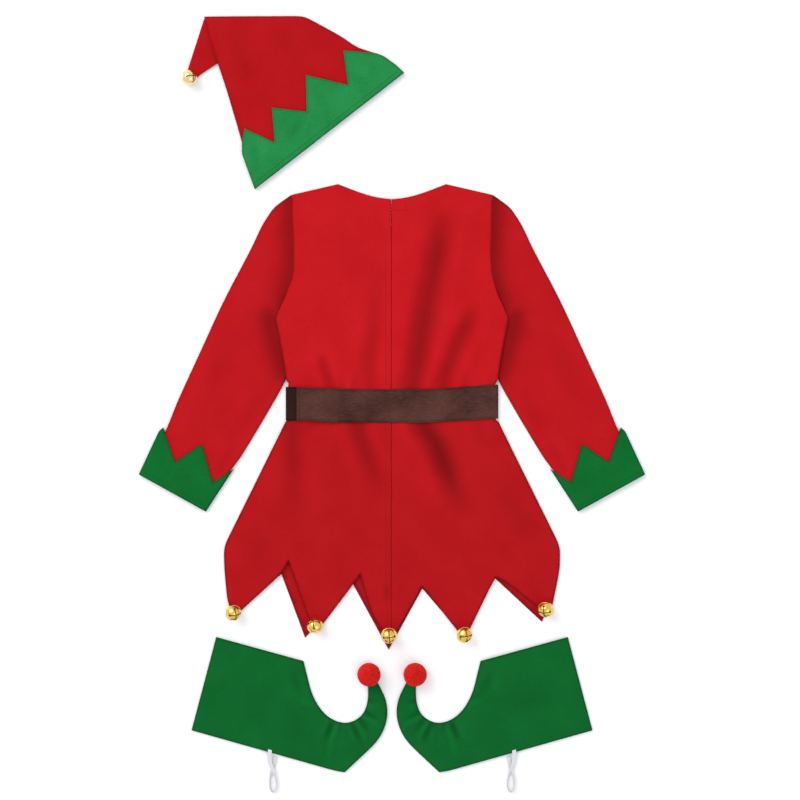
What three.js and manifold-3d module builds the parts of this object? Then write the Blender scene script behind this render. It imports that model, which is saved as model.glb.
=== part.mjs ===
// A child's elf costume laid flat with its back up: tunic, belt, hat and shoe covers.
// Millimetres. X runs across the tunic, Y towards its neck, Z up from the surface it lies on.
import * as THREE from 'three';
import { mergeVertices } from 'three/addons/utils/BufferGeometryUtils.js';
import Module from 'manifold-3d';

const wasm = await Module();
wasm.setup();

// Driving sizes
const CLOTH = 1.5;
const SEAM_GAP = 0.3;
const PLY = CLOTH + SEAM_GAP;
const LOFT = 3.4;
const BELT_THICKNESS = 1.8;
const BELT_WIDTH = 51;
const BELT_MIDDLE_Y = -3;
const WAIST_HALF_WIDTH = 155.5;
const BELT_HALF_WIDTH = 159.4;
const ARMPIT = { x: 175, y: 126 };
const SHOULDER = { x: 151, y: 314 };
const NECK_SIDE = { x: 81, y: 330 };
const NECK_BACK_Y = 307.5;
const NECK_FRONT_Y = 268;
const SLIT_END_Y = 247;
const SLIT_WIDTH = 0.4;
const CENTRE_SEAM_X = -0.75;
const NECK_ROUNDNESS = 0.6;
const ARMHOLE_CLEARANCE = 0.4;
const CUT_LOW = -20;
const CUT_HIGH = 60;
const BELL_RADIUS = 12;
const BELL_WALL = 0.9;
const BELL_SLOT_WIDTH = 2.2;
const BELL_LOOP_RADIUS = 2.6;
const BELL_LOOP_WIRE = 0.9;
const POMPOM_CORE_RADIUS = 14.6;
const POMPOM_RADIUS = 17.4;
const POMPOM_LOCKS = 54;

// Finishes
const finish = (color, roughness, metalness = 0) =>
  new THREE.MeshStandardMaterial({ color, roughness, metalness });
const redFelt = finish('#c41a20', 0.95);
const greenFelt = finish('#0f6a2c', 0.95);
const bandFelt = finish('#33975a', 0.95);
const brownFelt = finish('#5a3530', 0.9);
const redWool = finish('#c9241a', 1);
const whiteElastic = finish('#dcdde0', 0.8);
const brass = finish('#d9b24a', 0.25, 1);

// Small helpers
const point = (x, y) => ({ x, y });
const mirrored = (points) => points.map((p) => point(-p.x, p.y)).reverse();
const mix = (a, b, t) => a + (b - a) * t;
const smooth = (low, high, value) => THREE.MathUtils.smoothstep(value, low, high);
const bump = (value, middle, halfWidth, slope) =>
  1 - smooth(halfWidth, halfWidth + slope, Math.abs(value - middle));
const steps = (low, high, count) =>
  Array.from({ length: count + 1 }, (_, i) => mix(low, high, i / count));
const curveThrough = (points, count) =>
  new THREE.SplineCurve(points.map((p) => new THREE.Vector2(p.x, p.y))).getSpacedPoints(count);

// A closed solid from a geometry, turned outwards if it came out mirrored
function toSolid(geometry) {
  const bare = new THREE.BufferGeometry();
  bare.setAttribute('position', geometry.getAttribute('position').clone());
  if (geometry.index) bare.setIndex(geometry.index.clone());
  const merged = mergeVertices(bare, 1e-4);
  const corners = merged.getAttribute('position');
  const faces = Array.from(merged.index.array);
  const a = new THREE.Vector3();
  const b = new THREE.Vector3();
  const c = new THREE.Vector3();
  let volume = 0;
  for (let i = 0; i < faces.length; i += 3) {
    a.fromBufferAttribute(corners, faces[i]);
    b.fromBufferAttribute(corners, faces[i + 1]);
    c.fromBufferAttribute(corners, faces[i + 2]);
    volume += a.dot(b.cross(c));
  }
  if (volume < 0) faces.reverse();
  return new wasm.Manifold(new wasm.Mesh({
    numProp: 3,
    vertProperties: new Float32Array(corners.array),
    triVerts: new Uint32Array(faces),
  }));
}

function toGeometry(solid) {
  const mesh = solid.getMesh();
  const geometry = new THREE.BufferGeometry();
  geometry.setAttribute('position', new THREE.BufferAttribute(new Float32Array(mesh.vertProperties), 3));
  geometry.setIndex(new THREE.BufferAttribute(new Uint32Array(mesh.triVerts), 1));
  geometry.computeVertexNormals();
  return geometry;
}

const costume = new THREE.Group();
function add(name, solid, material) {
  const mesh = new THREE.Mesh(toGeometry(solid), material);
  mesh.name = name;
  costume.add(mesh);
}

// An upright cutter with the outline of a pattern piece
function cutter(points) {
  const shape = new THREE.Shape(points.map((p) => new THREE.Vector2(p.x, p.y)));
  const geometry = new THREE.ExtrudeGeometry(shape, { depth: CUT_HIGH - CUT_LOW, bevelEnabled: false });
  geometry.translate(0, 0, CUT_LOW);
  return toSolid(geometry);
}

// A closed wall between two grids of points of the same size; ring closes the rows on themselves
function wall(outer, inner, ring) {
  const rows = outer.length;
  const columns = outer[0].length;
  const positions = [];
  for (const grid of [outer, inner]) {
    for (const row of grid) {
      for (const p of row) positions.push(p.x, p.y, p.z);
    }
  }
  const index = [];
  const at = (side, row, column) => (side * rows + row) * columns + (column % columns);
  const quad = (a, b, c, d) => index.push(a, b, c, a, c, d);
  const last = ring ? columns : columns - 1;
  for (let r = 0; r < rows - 1; r += 1) {
    for (let c = 0; c < last; c += 1) {
      quad(at(0, r, c), at(0, r, c + 1), at(0, r + 1, c + 1), at(0, r + 1, c));
      quad(at(1, r, c), at(1, r + 1, c), at(1, r + 1, c + 1), at(1, r, c + 1));
    }
    if (!ring) {
      quad(at(0, r, 0), at(0, r + 1, 0), at(1, r + 1, 0), at(1, r, 0));
      quad(at(0, r + 1, last), at(0, r, last), at(1, r, last), at(1, r + 1, last));
    }
  }
  for (let c = 0; c < last; c += 1) {
    quad(at(0, 0, c + 1), at(0, 0, c), at(1, 0, c), at(1, 0, c + 1));
    quad(at(0, rows - 1, c), at(0, rows - 1, c + 1), at(1, rows - 1, c + 1), at(1, rows - 1, c));
  }
  const geometry = new THREE.BufferGeometry();
  geometry.setAttribute('position', new THREE.Float32BufferAttribute(positions, 3));
  geometry.setIndex(index);
  return toSolid(geometry);
}

// A pattern piece: a cloth layer whose underside follows a height, cut to an outline
function panel(outline, lower, grid, thickness = CLOTH) {
  const row = (y, lift) => grid.xs.map((x) => ({ x, y, z: lower(x, y) + lift }));
  const top = grid.ys.map((y) => row(y, thickness));
  const bottom = grid.ys.map((y) => row(y, 0));
  return wall(top, bottom, false).intersect(cutter(outline));
}

function gridOver(outline, stepX, stepY, margin = 5.3) {
  const box = new THREE.Box2().setFromPoints(outline.map((p) => new THREE.Vector2(p.x, p.y)));
  const size = box.getSize(new THREE.Vector2());
  return {
    xs: steps(box.min.x - margin, box.max.x + margin, Math.ceil((size.x + 2 * margin) / stepX)),
    ys: steps(box.min.y - margin, box.max.y + margin, Math.ceil((size.y + 2 * margin) / stepY)),
  };
}

// Height that a table of soft ridges and troughs gives; each row is a stretch with its half width
function relief(rows, x, y) {
  let height = 0;
  for (const r of rows) {
    const dx = r.x2 - r.x1;
    const dy = r.y2 - r.y1;
    const along = THREE.MathUtils.clamp(((x - r.x1) * dx + (y - r.y1) * dy) / (dx * dx + dy * dy), 0, 1);
    const away = Math.hypot(x - r.x1 - along * dx, y - r.y1 - along * dy) / r.wide;
    height += r.high * Math.exp(-away * away);
  }
  return height;
}

// Tunic outline tables: half widths down the side, and the zigzag hem from left to right
const sideTable = [
  { y: 108, x: 170.6 }, { y: 95, x: 168 }, { y: 56, x: 161 }, { y: 35, x: 158.5 },
  { y: 31.5, x: WAIST_HALF_WIDTH }, { y: -29, x: WAIST_HALF_WIDTH },
  { y: -31.5, x: 161 }, { y: -212, x: 251.4 }, { y: -219, x: 252.6 }, { y: -249, x: 251.6 },
];
const backHem = [
  { x: -247.5, y: -294 }, { x: -238.5, y: -321 }, { x: -167.5, y: -256.5 }, { x: -155.5, y: -235 },
  { x: -126, y: -320 }, { x: -114, y: -344 }, { x: -60, y: -273 }, { x: -48, y: -255 }, { x: -33, y: -309 },
  { x: -3, y: -360 },
  { x: 45.5, y: -274 }, { x: 109, y: -354 }, { x: 155, y: -259.5 }, { x: 168, y: -264 },
  { x: 216, y: -303 }, { x: 237, y: -318 }, { x: 243, y: -292 },
];
const frontHem = [
  { x: -247, y: -290 }, { x: -236, y: -314 }, { x: -166, y: -255.5 }, { x: -130.5, y: -351 },
  { x: -58.5, y: -270.6 }, { x: -5, y: -369 }, { x: 45.5, y: -277 }, { x: 107, y: -349 },
  { x: 155, y: -262 }, { x: 225, y: -327 }, { x: 242, y: -288 },
];
const seamCurve = curveThrough(
  [SHOULDER, point(150, 250), point(149, 198), point(158, 165), point(173, 133.5), ARMPIT], 60);
const ACROSS_SLEEVE = [0, 0.06, 0.25, 0.45, 0.62, 0.8, 0.94, 1];

function seamX(y) {
  const below = Math.max(1, seamCurve.findIndex((p) => p.y <= y));
  const a = seamCurve[below - 1];
  const b = seamCurve[below];
  return mix(a.x, b.x, THREE.MathUtils.clamp((a.y - y) / (a.y - b.y), 0, 1));
}

const armhole = ACROSS_SLEEVE.map((across) => {
  const y = mix(SHOULDER.y, ARMPIT.y, across);
  return point(seamX(y), y);
});

function neckCurve(lowest, from, to, count) {
  return steps(from, to, count).map((x) => {
    const t = Math.min(1, Math.abs(x) / NECK_SIDE.x);
    return point(x, mix(lowest, NECK_SIDE.y, t * t * (1 + NECK_ROUNDNESS * (1 - t))));
  });
}

// Heights of the tunic's layers above the surface
const BELT_SLOPE = 42;
const TUCK_IN = 128;
const TUCK_OUT = 148;
const TUCK_MIDDLE_Y = 100.5;
const TUCK_HALF_LENGTH = 62.5;
const TUCK_SLOPE = 14;
const TUCK_HEIGHT = 2 * CLOTH + 4 * SEAM_GAP;
const beltRun = (y) => bump(y, BELT_MIDDLE_Y + 4, BELT_WIDTH / 2 + 8, BELT_SLOPE);
const sleeveTuck = (x, y) =>
  smooth(TUCK_IN, TUCK_OUT, Math.abs(x)) * bump(y, TUCK_MIDDLE_Y, TUCK_HALF_LENGTH, TUCK_SLOPE);
const frontLower = (x, y) =>
  Math.max((BELT_THICKNESS + SEAM_GAP) * beltRun(y), TUCK_HEIGHT * sleeveTuck(x, y));

// Lines along which the tunic's layers bend, shared so that they lie parallel
const sideLines = [127.3, 139.1, 149.7, 160.3, 176.9];
const skirtLines = [195.3, 215.3, 236.3, 258.3];
const middleLines = steps(14.2, 113.6, 7);
const waistLines = [
  -97.1, -75.3, -58.7, -42.1, -31.2, 28.4, 40.3, 56.6, 74.2, 96.4, 119.8, 142.7, 164.1, 178.3,
];
const chestLines = steps(204.7, 335.3, 4);
const hemLines = steps(-375.3, -133.1, 7);

// Soft folds of the back, as high as the cloth lifts off the layer below
const backFolds = [
  { x1: 17, y1: 275, x2: 12, y2: 50, wide: 13, high: 2.7 },
  { x1: 106, y1: 285, x2: 64, y2: 55, wide: 22, high: 3.4 },
  { x1: 146, y1: 200, x2: 108, y2: 50, wide: 17, high: 3.0 },
  { x1: -86, y1: 275, x2: -72, y2: 60, wide: 36, high: 3.4 },
  { x1: -9, y1: 240, x2: -12, y2: 60, wide: 10, high: 1.4 },
  { x1: -170, y1: -75, x2: -196, y2: -215, wide: 20, high: 2.2 },
  { x1: -96, y1: -60, x2: -80, y2: -215, wide: 26, high: 3.2 },
  { x1: -8, y1: -60, x2: 8, y2: -225, wide: 16, high: 2.6 },
  { x1: 38, y1: -60, x2: 68, y2: -225, wide: 15, high: 2.8 },
  { x1: 116, y1: -60, x2: 150, y2: -215, wide: 20, high: 3.2 },
  { x1: 165, y1: -70, x2: 226, y2: -205, wide: 14, high: 2.2 },
];
const UNDER_BELT = 30;
const HEM_FLAT_Y = -330;
const HEM_LOOSE_Y = -250;
const loose = (y) =>
  (1 - bump(y, BELT_MIDDLE_Y, UNDER_BELT, BELT_SLOPE + 4)) * smooth(HEM_FLAT_Y, HEM_LOOSE_Y, y);
const backLower = (x, y) =>
  frontLower(x, y) + PLY + Math.min(LOFT, relief(backFolds, x, y)) * loose(y);

// Tunic panels
const rightEdge = [
  ...armhole.map((p) => point(p.x - ARMHOLE_CLEARANCE, p.y)),
  ...sideTable.map((row) => point(row.x, row.y)),
];

function tunicFront() {
  const outline = [
    ...neckCurve(NECK_FRONT_Y, -NECK_SIDE.x, NECK_SIDE.x, 10),
    ...rightEdge, ...[...frontHem].reverse(), ...mirrored(rightEdge),
  ];
  const edgeLines = [...sideLines, skirtLines.at(-1)];
  const grid = {
    xs: [...edgeLines.map((x) => -x).reverse(), ...edgeLines],
    ys: [hemLines[0], ...waistLines, chestLines.at(-1)],
  };
  return panel(outline, frontLower, grid);
}

function tunicBackHalf(side) {
  const inner = CENTRE_SEAM_X + (side * SEAM_GAP) / 2;
  const slit = [
    point(inner, SLIT_END_Y), point(inner + (side * SLIT_WIDTH) / 2, mix(SLIT_END_Y, NECK_BACK_Y, 0.4)),
    point(inner + (side * SLIT_WIDTH) / 4, NECK_BACK_Y),
  ];
  const neck = neckCurve(NECK_BACK_Y, side * 8, side * NECK_SIDE.x, 6);
  const sideEdge = rightEdge.map((p) => point(side * p.x, p.y));
  const seamFoot = hemAt(inner);
  const hem = backHem.filter((p) => (p.x - inner) * side > 0);
  if (side > 0) hem.reverse();
  const outline = [...slit, ...neck, ...sideEdge, ...hem, seamFoot];
  const xs = [-15.4, -0.4, ...middleLines, ...sideLines, ...skirtLines].map((x) => side * x);
  if (side < 0) xs.reverse();
  return panel(outline, backLower, { xs, ys: [...hemLines, ...waistLines, ...chestLines] });
}

function hemAt(x) {
  const after = backHem.findIndex((p) => p.x > x);
  const a = backHem[after - 1];
  const b = backHem[after];
  return point(x, mix(a.y, b.y, (x - a.x) / (b.x - a.x)));
}

add('tunic_front', tunicFront(), redFelt);
add('tunic_back_left', tunicBackHalf(-1), redFelt);
add('tunic_back_right', tunicBackHalf(1), redFelt);

// Sleeves: flattened tubes from the armhole to inside the cuff, tucked under the body at the armpit
const sleeveOuterEdge = [
  SHOULDER, point(179, 294), point(194, 270.5), point(212, 232), point(252, 156), point(286.5, 81),
  point(321, 6), point(338, -37), point(361, -90),
];
const sleeveInnerEdge = [
  point(ARMPIT.x + 0.4, ARMPIT.y), point(171.8, 106), point(163, 88), point(154, 66), point(154, 52),
  point(158.4, 39), point(165, 25), point(198, -32), point(234, -91), point(252, -117), point(262.5, -133),
];
const betweenEdges = ACROSS_SLEEVE.slice(1, -1);
const sleeveSection = [
  ...betweenEdges.map((across) => ({ across, up: 1 })), { across: 1, up: 0.5 },
  ...[...betweenEdges].reverse().map((across) => ({ across, up: 0 })), { across: 0, up: 0.5 },
];
const SLEEVE_STATIONS = 14;
const sleevePuffs = [
  { x1: 190, y1: 230, x2: 262, y2: 60, wide: 34, high: 2.9 },
  { x1: 262, y1: 60, x2: 292, y2: -20, wide: 26, high: 2.6 },
];
const CUFF_ENTRY_FROM = 0.75;
const CUFF_ENTRY_TO = 0.85;
const SLEEVE_HOLLOW = 0.6;
const SLEEVE_LOFT = 3;
const cuffEntry = (along) => smooth(CUFF_ENTRY_FROM, CUFF_ENTRY_TO, along);

function sleeve(side) {
  const outerEdge = curveThrough(sleeveOuterEdge, SLEEVE_STATIONS);
  const innerEdge = curveThrough(sleeveInnerEdge, SLEEVE_STATIONS);
  const spot = (along, station, across) => {
    const seam = seamX(mix(SHOULDER.y, ARMPIT.y, across));
    const bulge = (seam - mix(SHOULDER.x, ARMPIT.x, across)) * (1 - along) ** 4;
    return point(
      mix(outerEdge[station].x, innerEdge[station].x, across) + bulge,
      mix(outerEdge[station].y, innerEdge[station].y, across),
    );
  };
  const ring = (station, inset) => {
    const along = station / SLEEVE_STATIONS;
    const width = outerEdge[station].distanceTo(innerEdge[station]);
    return sleeveSection.map((corner) => {
      const pull = 1 - (2 * inset) / width;
      const across = 0.5 + (corner.across - 0.5) * pull;
      const p = spot(along, station, across);
      const base = PLY * cuffEntry(along);
      const isUpper = corner.up > 0 && betweenEdges.includes(corner.across);
      const share = isUpper ? (1 - 0.6 * Math.abs(corner.across - 0.5)) * (1 - cuffEntry(along)) : 0;
      const puff = Math.min(SLEEVE_LOFT, relief(sleevePuffs, p.x, p.y)) * share;
      const height = 2 * CLOTH + mix(SLEEVE_HOLLOW, SEAM_GAP, cuffEntry(along)) + puff;
      const z = base + inset + corner.up * (height - 2 * inset);
      return { x: side * p.x, y: p.y, z };
    });
  };
  const stations = steps(0, SLEEVE_STATIONS, SLEEVE_STATIONS);
  return wall(stations.map((s) => ring(s, 0)), stations.map((s) => ring(s, CLOTH)), true);
}

// Cuffs: wider green tubes whose upper edge is cut in points
const cuffOutline = [
  point(343.5, -35), point(350, -41), point(380, -105.5), point(278, -162), point(237, -99),
  point(238, -98), point(268.5, -118), point(285, -60), point(325, -87),
];
const cuffTube = [
  { outerX: 338, outerY: -15, innerX: 221, innerY: -74 },
  { outerX: 350.5, outerY: -41, innerX: 236.5, innerY: -98 },
  { outerX: 380.2, outerY: -105.3, innerX: 277.8, innerY: -162.2 },
  { outerX: 384.5, outerY: -115, innerX: 283, innerY: -171 },
];
const cuffSection = [
  { across: 0.03, up: 1 }, { across: 0.5, up: 1 }, { across: 0.97, up: 1 }, { across: 1, up: 0.5 },
  { across: 0.97, up: 0 }, { across: 0.5, up: 0 }, { across: 0.03, up: 0 }, { across: 0, up: 0.5 },
];

function cuff(side) {
  const height = 4 * CLOTH + 3 * SEAM_GAP;
  const ring = (row, inset) => {
    const width = Math.hypot(row.outerX - row.innerX, row.outerY - row.innerY);
    return cuffSection.map((corner) => {
      const across = 0.5 + (corner.across - 0.5) * (1 - (2 * inset) / width);
      return {
        x: side * mix(row.outerX, row.innerX, across),
        y: mix(row.outerY, row.innerY, across),
        z: inset + corner.up * (height - 2 * inset),
      };
    });
  };
  const tube = wall(cuffTube.map((row) => ring(row, 0)), cuffTube.map((row) => ring(row, CLOTH)), true);
  return tube.intersect(cutter(cuffOutline.map((p) => point(side * p.x, p.y))));
}

for (const [name, side] of [['left', -1], ['right', 1]]) {
  add(`sleeve_${name}`, sleeve(side), redFelt);
  add(`cuff_${name}`, cuff(side), greenFelt);
}

// Belt: one strip round the tunic; its right-hand end lies over its own left-hand end
const BELT_REST = BELT_THICKNESS + SEAM_GAP + 2 * PLY;
const beltLevel = BELT_REST + BELT_THICKNESS / 2 + 0.2;
const beltLap = beltLevel + BELT_THICKNESS + SEAM_GAP;
const beltPath = [
  { x: -143, z: beltLap }, { x: -84, z: beltLap },
  { x: -66, z: beltLevel }, { x: 40, z: beltLevel }, { x: 110, z: beltLevel }, { x: 156.5, z: beltLevel },
  { x: 159.2, z: beltLevel - 1.4 }, { x: BELT_HALF_WIDTH + 0.2, z: 3.2 }, { x: 159.2, z: 2 },
  { x: 156.5, z: BELT_THICKNESS / 2 }, { x: -156.5, z: BELT_THICKNESS / 2 }, { x: -159.2, z: 2 },
  { x: -BELT_HALF_WIDTH - 0.2, z: 3.2 }, { x: -159.2, z: beltLevel - 1.4 }, { x: -156.5, z: beltLevel },
  { x: -90, z: beltLevel },
];
const BELT_DRIFT_RIGHT = 6.5;
const BELT_DRIFT_LEFT = 3.4;
const beltRise = (x) =>
  BELT_DRIFT_RIGHT * smooth(40, 165, x) + BELT_DRIFT_LEFT * smooth(40, 165, -x);

function belt() {
  const normals = beltPath.map((_, i) => {
    const a = beltPath[Math.max(0, i - 1)];
    const b = beltPath[Math.min(beltPath.length - 1, i + 1)];
    return new THREE.Vector2(-(b.z - a.z), b.x - a.x).normalize();
  });
  const side = (shift) => [-0.5, 0.5].map((across) => beltPath.map((p, i) => ({
    x: p.x + normals[i].x * shift,
    y: BELT_MIDDLE_Y + across * (BELT_WIDTH - 1) + beltRise(p.x),
    z: p.z + normals[i].y * shift,
  })));
  return wall(side(BELT_THICKNESS / 2), side(-BELT_THICKNESS / 2), false);
}

add('belt', belt(), brownFelt);

// Hat: a flattened felt cone whose tip is folded under along the top edge
const hatTopLeft = point(-282, 581);
const hatTopRight = point(-140, 583);
const brimRight = point(18, 497);
const brimLeft = point(-206, 322.5);
const bandStart = point(-225, 392);
const hatRightEdge = [
  point(-129, 579.5), point(-78, 552.6), point(-51, 534), point(-36, 530), point(-13, 522),
  point(6, 508.5),
];
const hatLeftEdge = [point(-225, 375), bandStart, point(-248, 471), point(-262, 513)];
const bandPoints = [
  { peakX: -221, peakY: 413, valleyX: -176, valleyY: 392 },
  { peakX: -180, peakY: 444, valleyX: -128, valleyY: 438 },
  { peakX: -129, peakY: 493, valleyX: -66, valleyY: 478 },
];
const bandLastPeak = point(-73, 530);
const bandEnd = point(-24, 526);
const hatTipEnd = [point(-308, 498), point(-311, 484), point(-304, 480), point(-288, 494), point(-264, 510)];
const FOLD_ROLL = 5;
const TIP_HEIGHT = 2 * PLY;
const BRIM_SLOPE = 26;
const NO_GRID = 400;

const brimSlope = Math.atan2(brimRight.y - brimLeft.y, brimRight.x - brimLeft.x);
const awayFromBrim = (x, y) =>
  (y - brimLeft.y) * Math.cos(brimSlope) - (x - brimLeft.x) * Math.sin(brimSlope);
const belowFold = (y) => hatTopLeft.y - y;
const hatUnderLower = (x, y) => {
  const overTip = 1 - smooth(86, 124, belowFold(y) + 0.45 * (x + 282));
  return PLY + (TIP_HEIGHT - PLY + SEAM_GAP) * overTip;
};
const hatFolds = [
  { x1: -236, y1: 560, x2: -190, y2: 430, wide: 26, high: 2.2 },
  { x1: -170, y1: 550, x2: -120, y2: 470, wide: 30, high: 2.4 },
  { x1: -170, y1: 400, x2: -70, y2: 480, wide: 34, high: 2.2 },
];
const hatUpperLower = (x, y) =>
  hatUnderLower(x, y) + PLY
  + Math.min(LOFT, relief(hatFolds, x, y)) * smooth(0, BRIM_SLOPE, awayFromBrim(x, y));

const foldLineY = hatTopLeft.y - FOLD_ROLL - SEAM_GAP;
const hatOutline = [
  brimLeft, brimRight, ...[...hatRightEdge].reverse(), hatTopRight, hatTopLeft,
  ...[...hatLeftEdge].reverse(),
].map((p) => point(p.x, Math.min(p.y, foldLineY)));
const foldedHatOutline = hatOutline.filter((p, i, all) => i === 0 || p.x !== all[i - 1].x);
const bandOutline = [
  brimLeft, brimRight, point(6, 508.5), point(-13, 522), bandEnd, bandLastPeak,
  ...[...bandPoints].reverse().flatMap((row) => [
    point(row.valleyX, row.valleyY), point(row.peakX, row.peakY),
  ]),
  bandStart, point(-225, 375),
];

// A round bar along X, as high as the fold, whose front half runs on flat past the strip
function foldBar(height) {
  const reach = 6 * FOLD_ROLL;
  const radius = height / 2;
  const section = new THREE.Shape();
  section.moveTo(-reach, 0);
  section.lineTo(-radius, 0);
  section.absarc(-radius, radius, radius, -Math.PI / 2, Math.PI / 2, false);
  section.lineTo(-reach, height);
  const depth = hatTopRight.x - hatTopLeft.x + 2 * reach;
  const bar = new THREE.ExtrudeGeometry(section, { depth, bevelEnabled: false, curveSegments: 6 });
  bar.applyMatrix4(new THREE.Matrix4().makeBasis(
    new THREE.Vector3(0, 1, 0), new THREE.Vector3(0, 0, 1), new THREE.Vector3(1, 0, 0)));
  bar.translate(hatTopLeft.x - reach, hatTopRight.y, 0);
  return toSolid(bar);
}

function hatTipPad() {
  const triangle = [hatTopLeft, ...hatTipEnd, point(-166, 577), hatTopRight];
  const pad = panel(triangle, () => 0, gridOver(triangle, NO_GRID, NO_GRID), TIP_HEIGHT);
  const rollTop = TIP_HEIGHT + 2 * PLY;
  const strip = [
    point(hatTopLeft.x + 1.2, hatTopLeft.y - FOLD_ROLL), point(hatTopRight.x + 8, hatTopLeft.y - FOLD_ROLL),
    hatTopRight, hatTopLeft,
  ];
  const roll = panel(strip, () => 0, gridOver(strip, NO_GRID, NO_GRID), rollTop);
  return pad.add(roll.intersect(foldBar(rollTop)));
}

const hatGrid = gridOver(foldedHatOutline, 24, 24);
add('hat_tip', hatTipPad(), redFelt);
add('hat_under', panel(foldedHatOutline, hatUnderLower, hatGrid), redFelt);
add('hat_upper', panel(foldedHatOutline, hatUpperLower, hatGrid), redFelt);
add('hat_band_under', panel(bandOutline, () => 0, gridOver(bandOutline, NO_GRID, NO_GRID)), bandFelt);
const bandUpperLower = (x, y) => hatUpperLower(x, y) + PLY;
add('hat_band_upper', panel(bandOutline, bandUpperLower, hatGrid), bandFelt);

// Shoe covers: two felt halves, the toe curled back to its pompom
const shoeBack = [point(-264, -350), point(-301, -490), point(-84.5, -551)];
const shoeToeOuter = [
  point(-71, -553), point(-46.5, -530), point(-23, -507), point(-11, -486), point(-6.5, -463),
  point(-10, -442), point(-18, -425), point(-25, -412), point(-31, -403.5),
];
const shoeToeInner = [
  point(-38.5, -404.5), point(-36.5, -418), point(-35.5, -436), point(-40, -461), point(-53, -474.5),
  point(-70, -480), point(-89, -474.5), point(-105.5, -461), point(-120, -436), point(-127.5, -408),
  point(-133, -386),
];
const TOE_STEPS = 14;
const shoeOutline = [
  ...shoeBack, ...curveThrough(shoeToeOuter, TOE_STEPS), ...curveThrough(shoeToeInner, TOE_STEPS),
];
const shoePuffs = [
  { x1: -215, y1: -420, x2: -150, y2: -480, wide: 52, high: 2.6 },
  { x1: -120, y1: -505, x2: -70, y2: -512, wide: 22, high: 2.4 },
  { x1: -60, y1: -508, x2: -30, y2: -486, wide: 16, high: 2.6 },
  { x1: -24, y1: -476, x2: -22, y2: -450, wide: 10, high: 2.8 },
  { x1: -89, y1: -486, x2: -104, y2: -516, wide: 6, high: -1.4 },
  { x1: -57, y1: -488, x2: -42, y2: -512, wide: 6, high: -1.4 },
];
const shoeUpperLower = (x, y) => PLY + Math.max(0, Math.min(LOFT, relief(shoePuffs, x, y)));

function shoeHalf(side, upper) {
  const outline = shoeOutline.map((p) => point(-side * p.x, p.y));
  const lower = upper ? (x, y) => shoeUpperLower(-side * x, y) : () => 0;
  const step = upper ? 18.3 : NO_GRID;
  return panel(outline, lower, gridOver(outline, step, step));
}

// Elastic under each shoe cover, a band twisted once into a figure of eight
const ELASTIC_WIDTH = 6;
const ELASTIC_THICKNESS = 1;
const elasticRoute = [
  { x: -186.5, y: -513, z: 5.4, lean: 0 }, { x: -186, y: -524, z: 5.1, lean: 0 },
  { x: -184, y: -535, z: 4.1, lean: 6 }, { x: -179, y: -547, z: 3.7, lean: 20 },
  { x: -173, y: -560, z: 3.4, lean: 75 }, { x: -172, y: -571, z: 3.2, lean: 90 },
  { x: -174.5, y: -579, z: 3.2, lean: 90 }, { x: -179, y: -582.5, z: 3.2, lean: 90 },
  { x: -183.5, y: -579, z: 3.2, lean: 90 }, { x: -185.5, y: -571, z: 3.2, lean: 90 },
  { x: -184, y: -560, z: 3.2, lean: 75 }, { x: -178.5, y: -547, z: 1.05, lean: 6 },
  { x: -175.5, y: -536, z: 1.2, lean: 0 }, { x: -175, y: -529.4, z: 1.5, lean: 0 },
];

function elastic(side) {
  const route = elasticRoute.map((row) => new THREE.Vector3(-side * row.x, row.y, row.z));
  const edge = (across, shift) => route.map((p, i) => {
    const before = route[Math.max(0, i - 1)];
    const after = route[Math.min(route.length - 1, i + 1)];
    const along = after.clone().sub(before).setZ(0).normalize();
    const sideways = new THREE.Vector3(along.y, -along.x, 0);
    const lean = THREE.MathUtils.degToRad(elasticRoute[i].lean) * side;
    const flat = sideways.clone().multiplyScalar(Math.cos(lean)).setZ(Math.sin(lean));
    const normal = new THREE.Vector3().crossVectors(along, flat);
    return p.clone().addScaledVector(flat, across * ELASTIC_WIDTH).addScaledVector(normal, shift);
  });
  const face = (shift) => [edge(-0.5, shift), edge(0.5, shift)];
  return wall(face(ELASTIC_THICKNESS / 2), face(-ELASTIC_THICKNESS / 2), false);
}

// Pompom: a wool ball with short locks fused to its core
const pompomCentre = new THREE.Vector3(-34.5, -405.5, 2 * PLY + POMPOM_CORE_RADIUS);
const TOE_TOP = 2 * PLY + 0.8;
const LOCK_WIDTH = 2.8;
const LOCK_LENGTH = 5;
const TOE_HALF_WIDTH = 9;

function pompom(side) {
  const centre = pompomCentre.clone();
  centre.x *= -side;
  const core = new THREE.SphereGeometry(POMPOM_CORE_RADIUS, 10, 7);
  core.rotateX(Math.PI / 2);
  core.translate(centre.x, centre.y, centre.z);
  let ball = toSolid(core);
  const golden = Math.PI * (3 - Math.sqrt(5));
  for (let i = 0; i < POMPOM_LOCKS; i += 1) {
    const height = 1 - (2 * (i + 0.5)) / POMPOM_LOCKS;
    const reach = Math.sqrt(1 - height * height);
    const way = new THREE.Vector3(reach * Math.cos(golden * i), reach * Math.sin(golden * i), height);
    const tip = centre.clone().addScaledVector(way, POMPOM_RADIUS);
    const besideToe = tip.y < centre.y + LOCK_LENGTH && Math.abs(tip.x - centre.x) < TOE_HALF_WIDTH;
    const overToe = tip.z < TOE_TOP && besideToe;
    if (overToe) continue;
    const length = LOCK_LENGTH - (i % 3) * 0.5;
    const lock = new THREE.ConeGeometry(LOCK_WIDTH, length, 4);
    lock.applyQuaternion(new THREE.Quaternion().setFromUnitVectors(new THREE.Vector3(0, 1, 0), way));
    const out = centre.clone().addScaledVector(way, POMPOM_RADIUS - LOCK_LENGTH + length / 2);
    lock.translate(out.x, out.y, out.z);
    ball = ball.add(toSolid(lock));
  }
  return ball;
}

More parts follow.
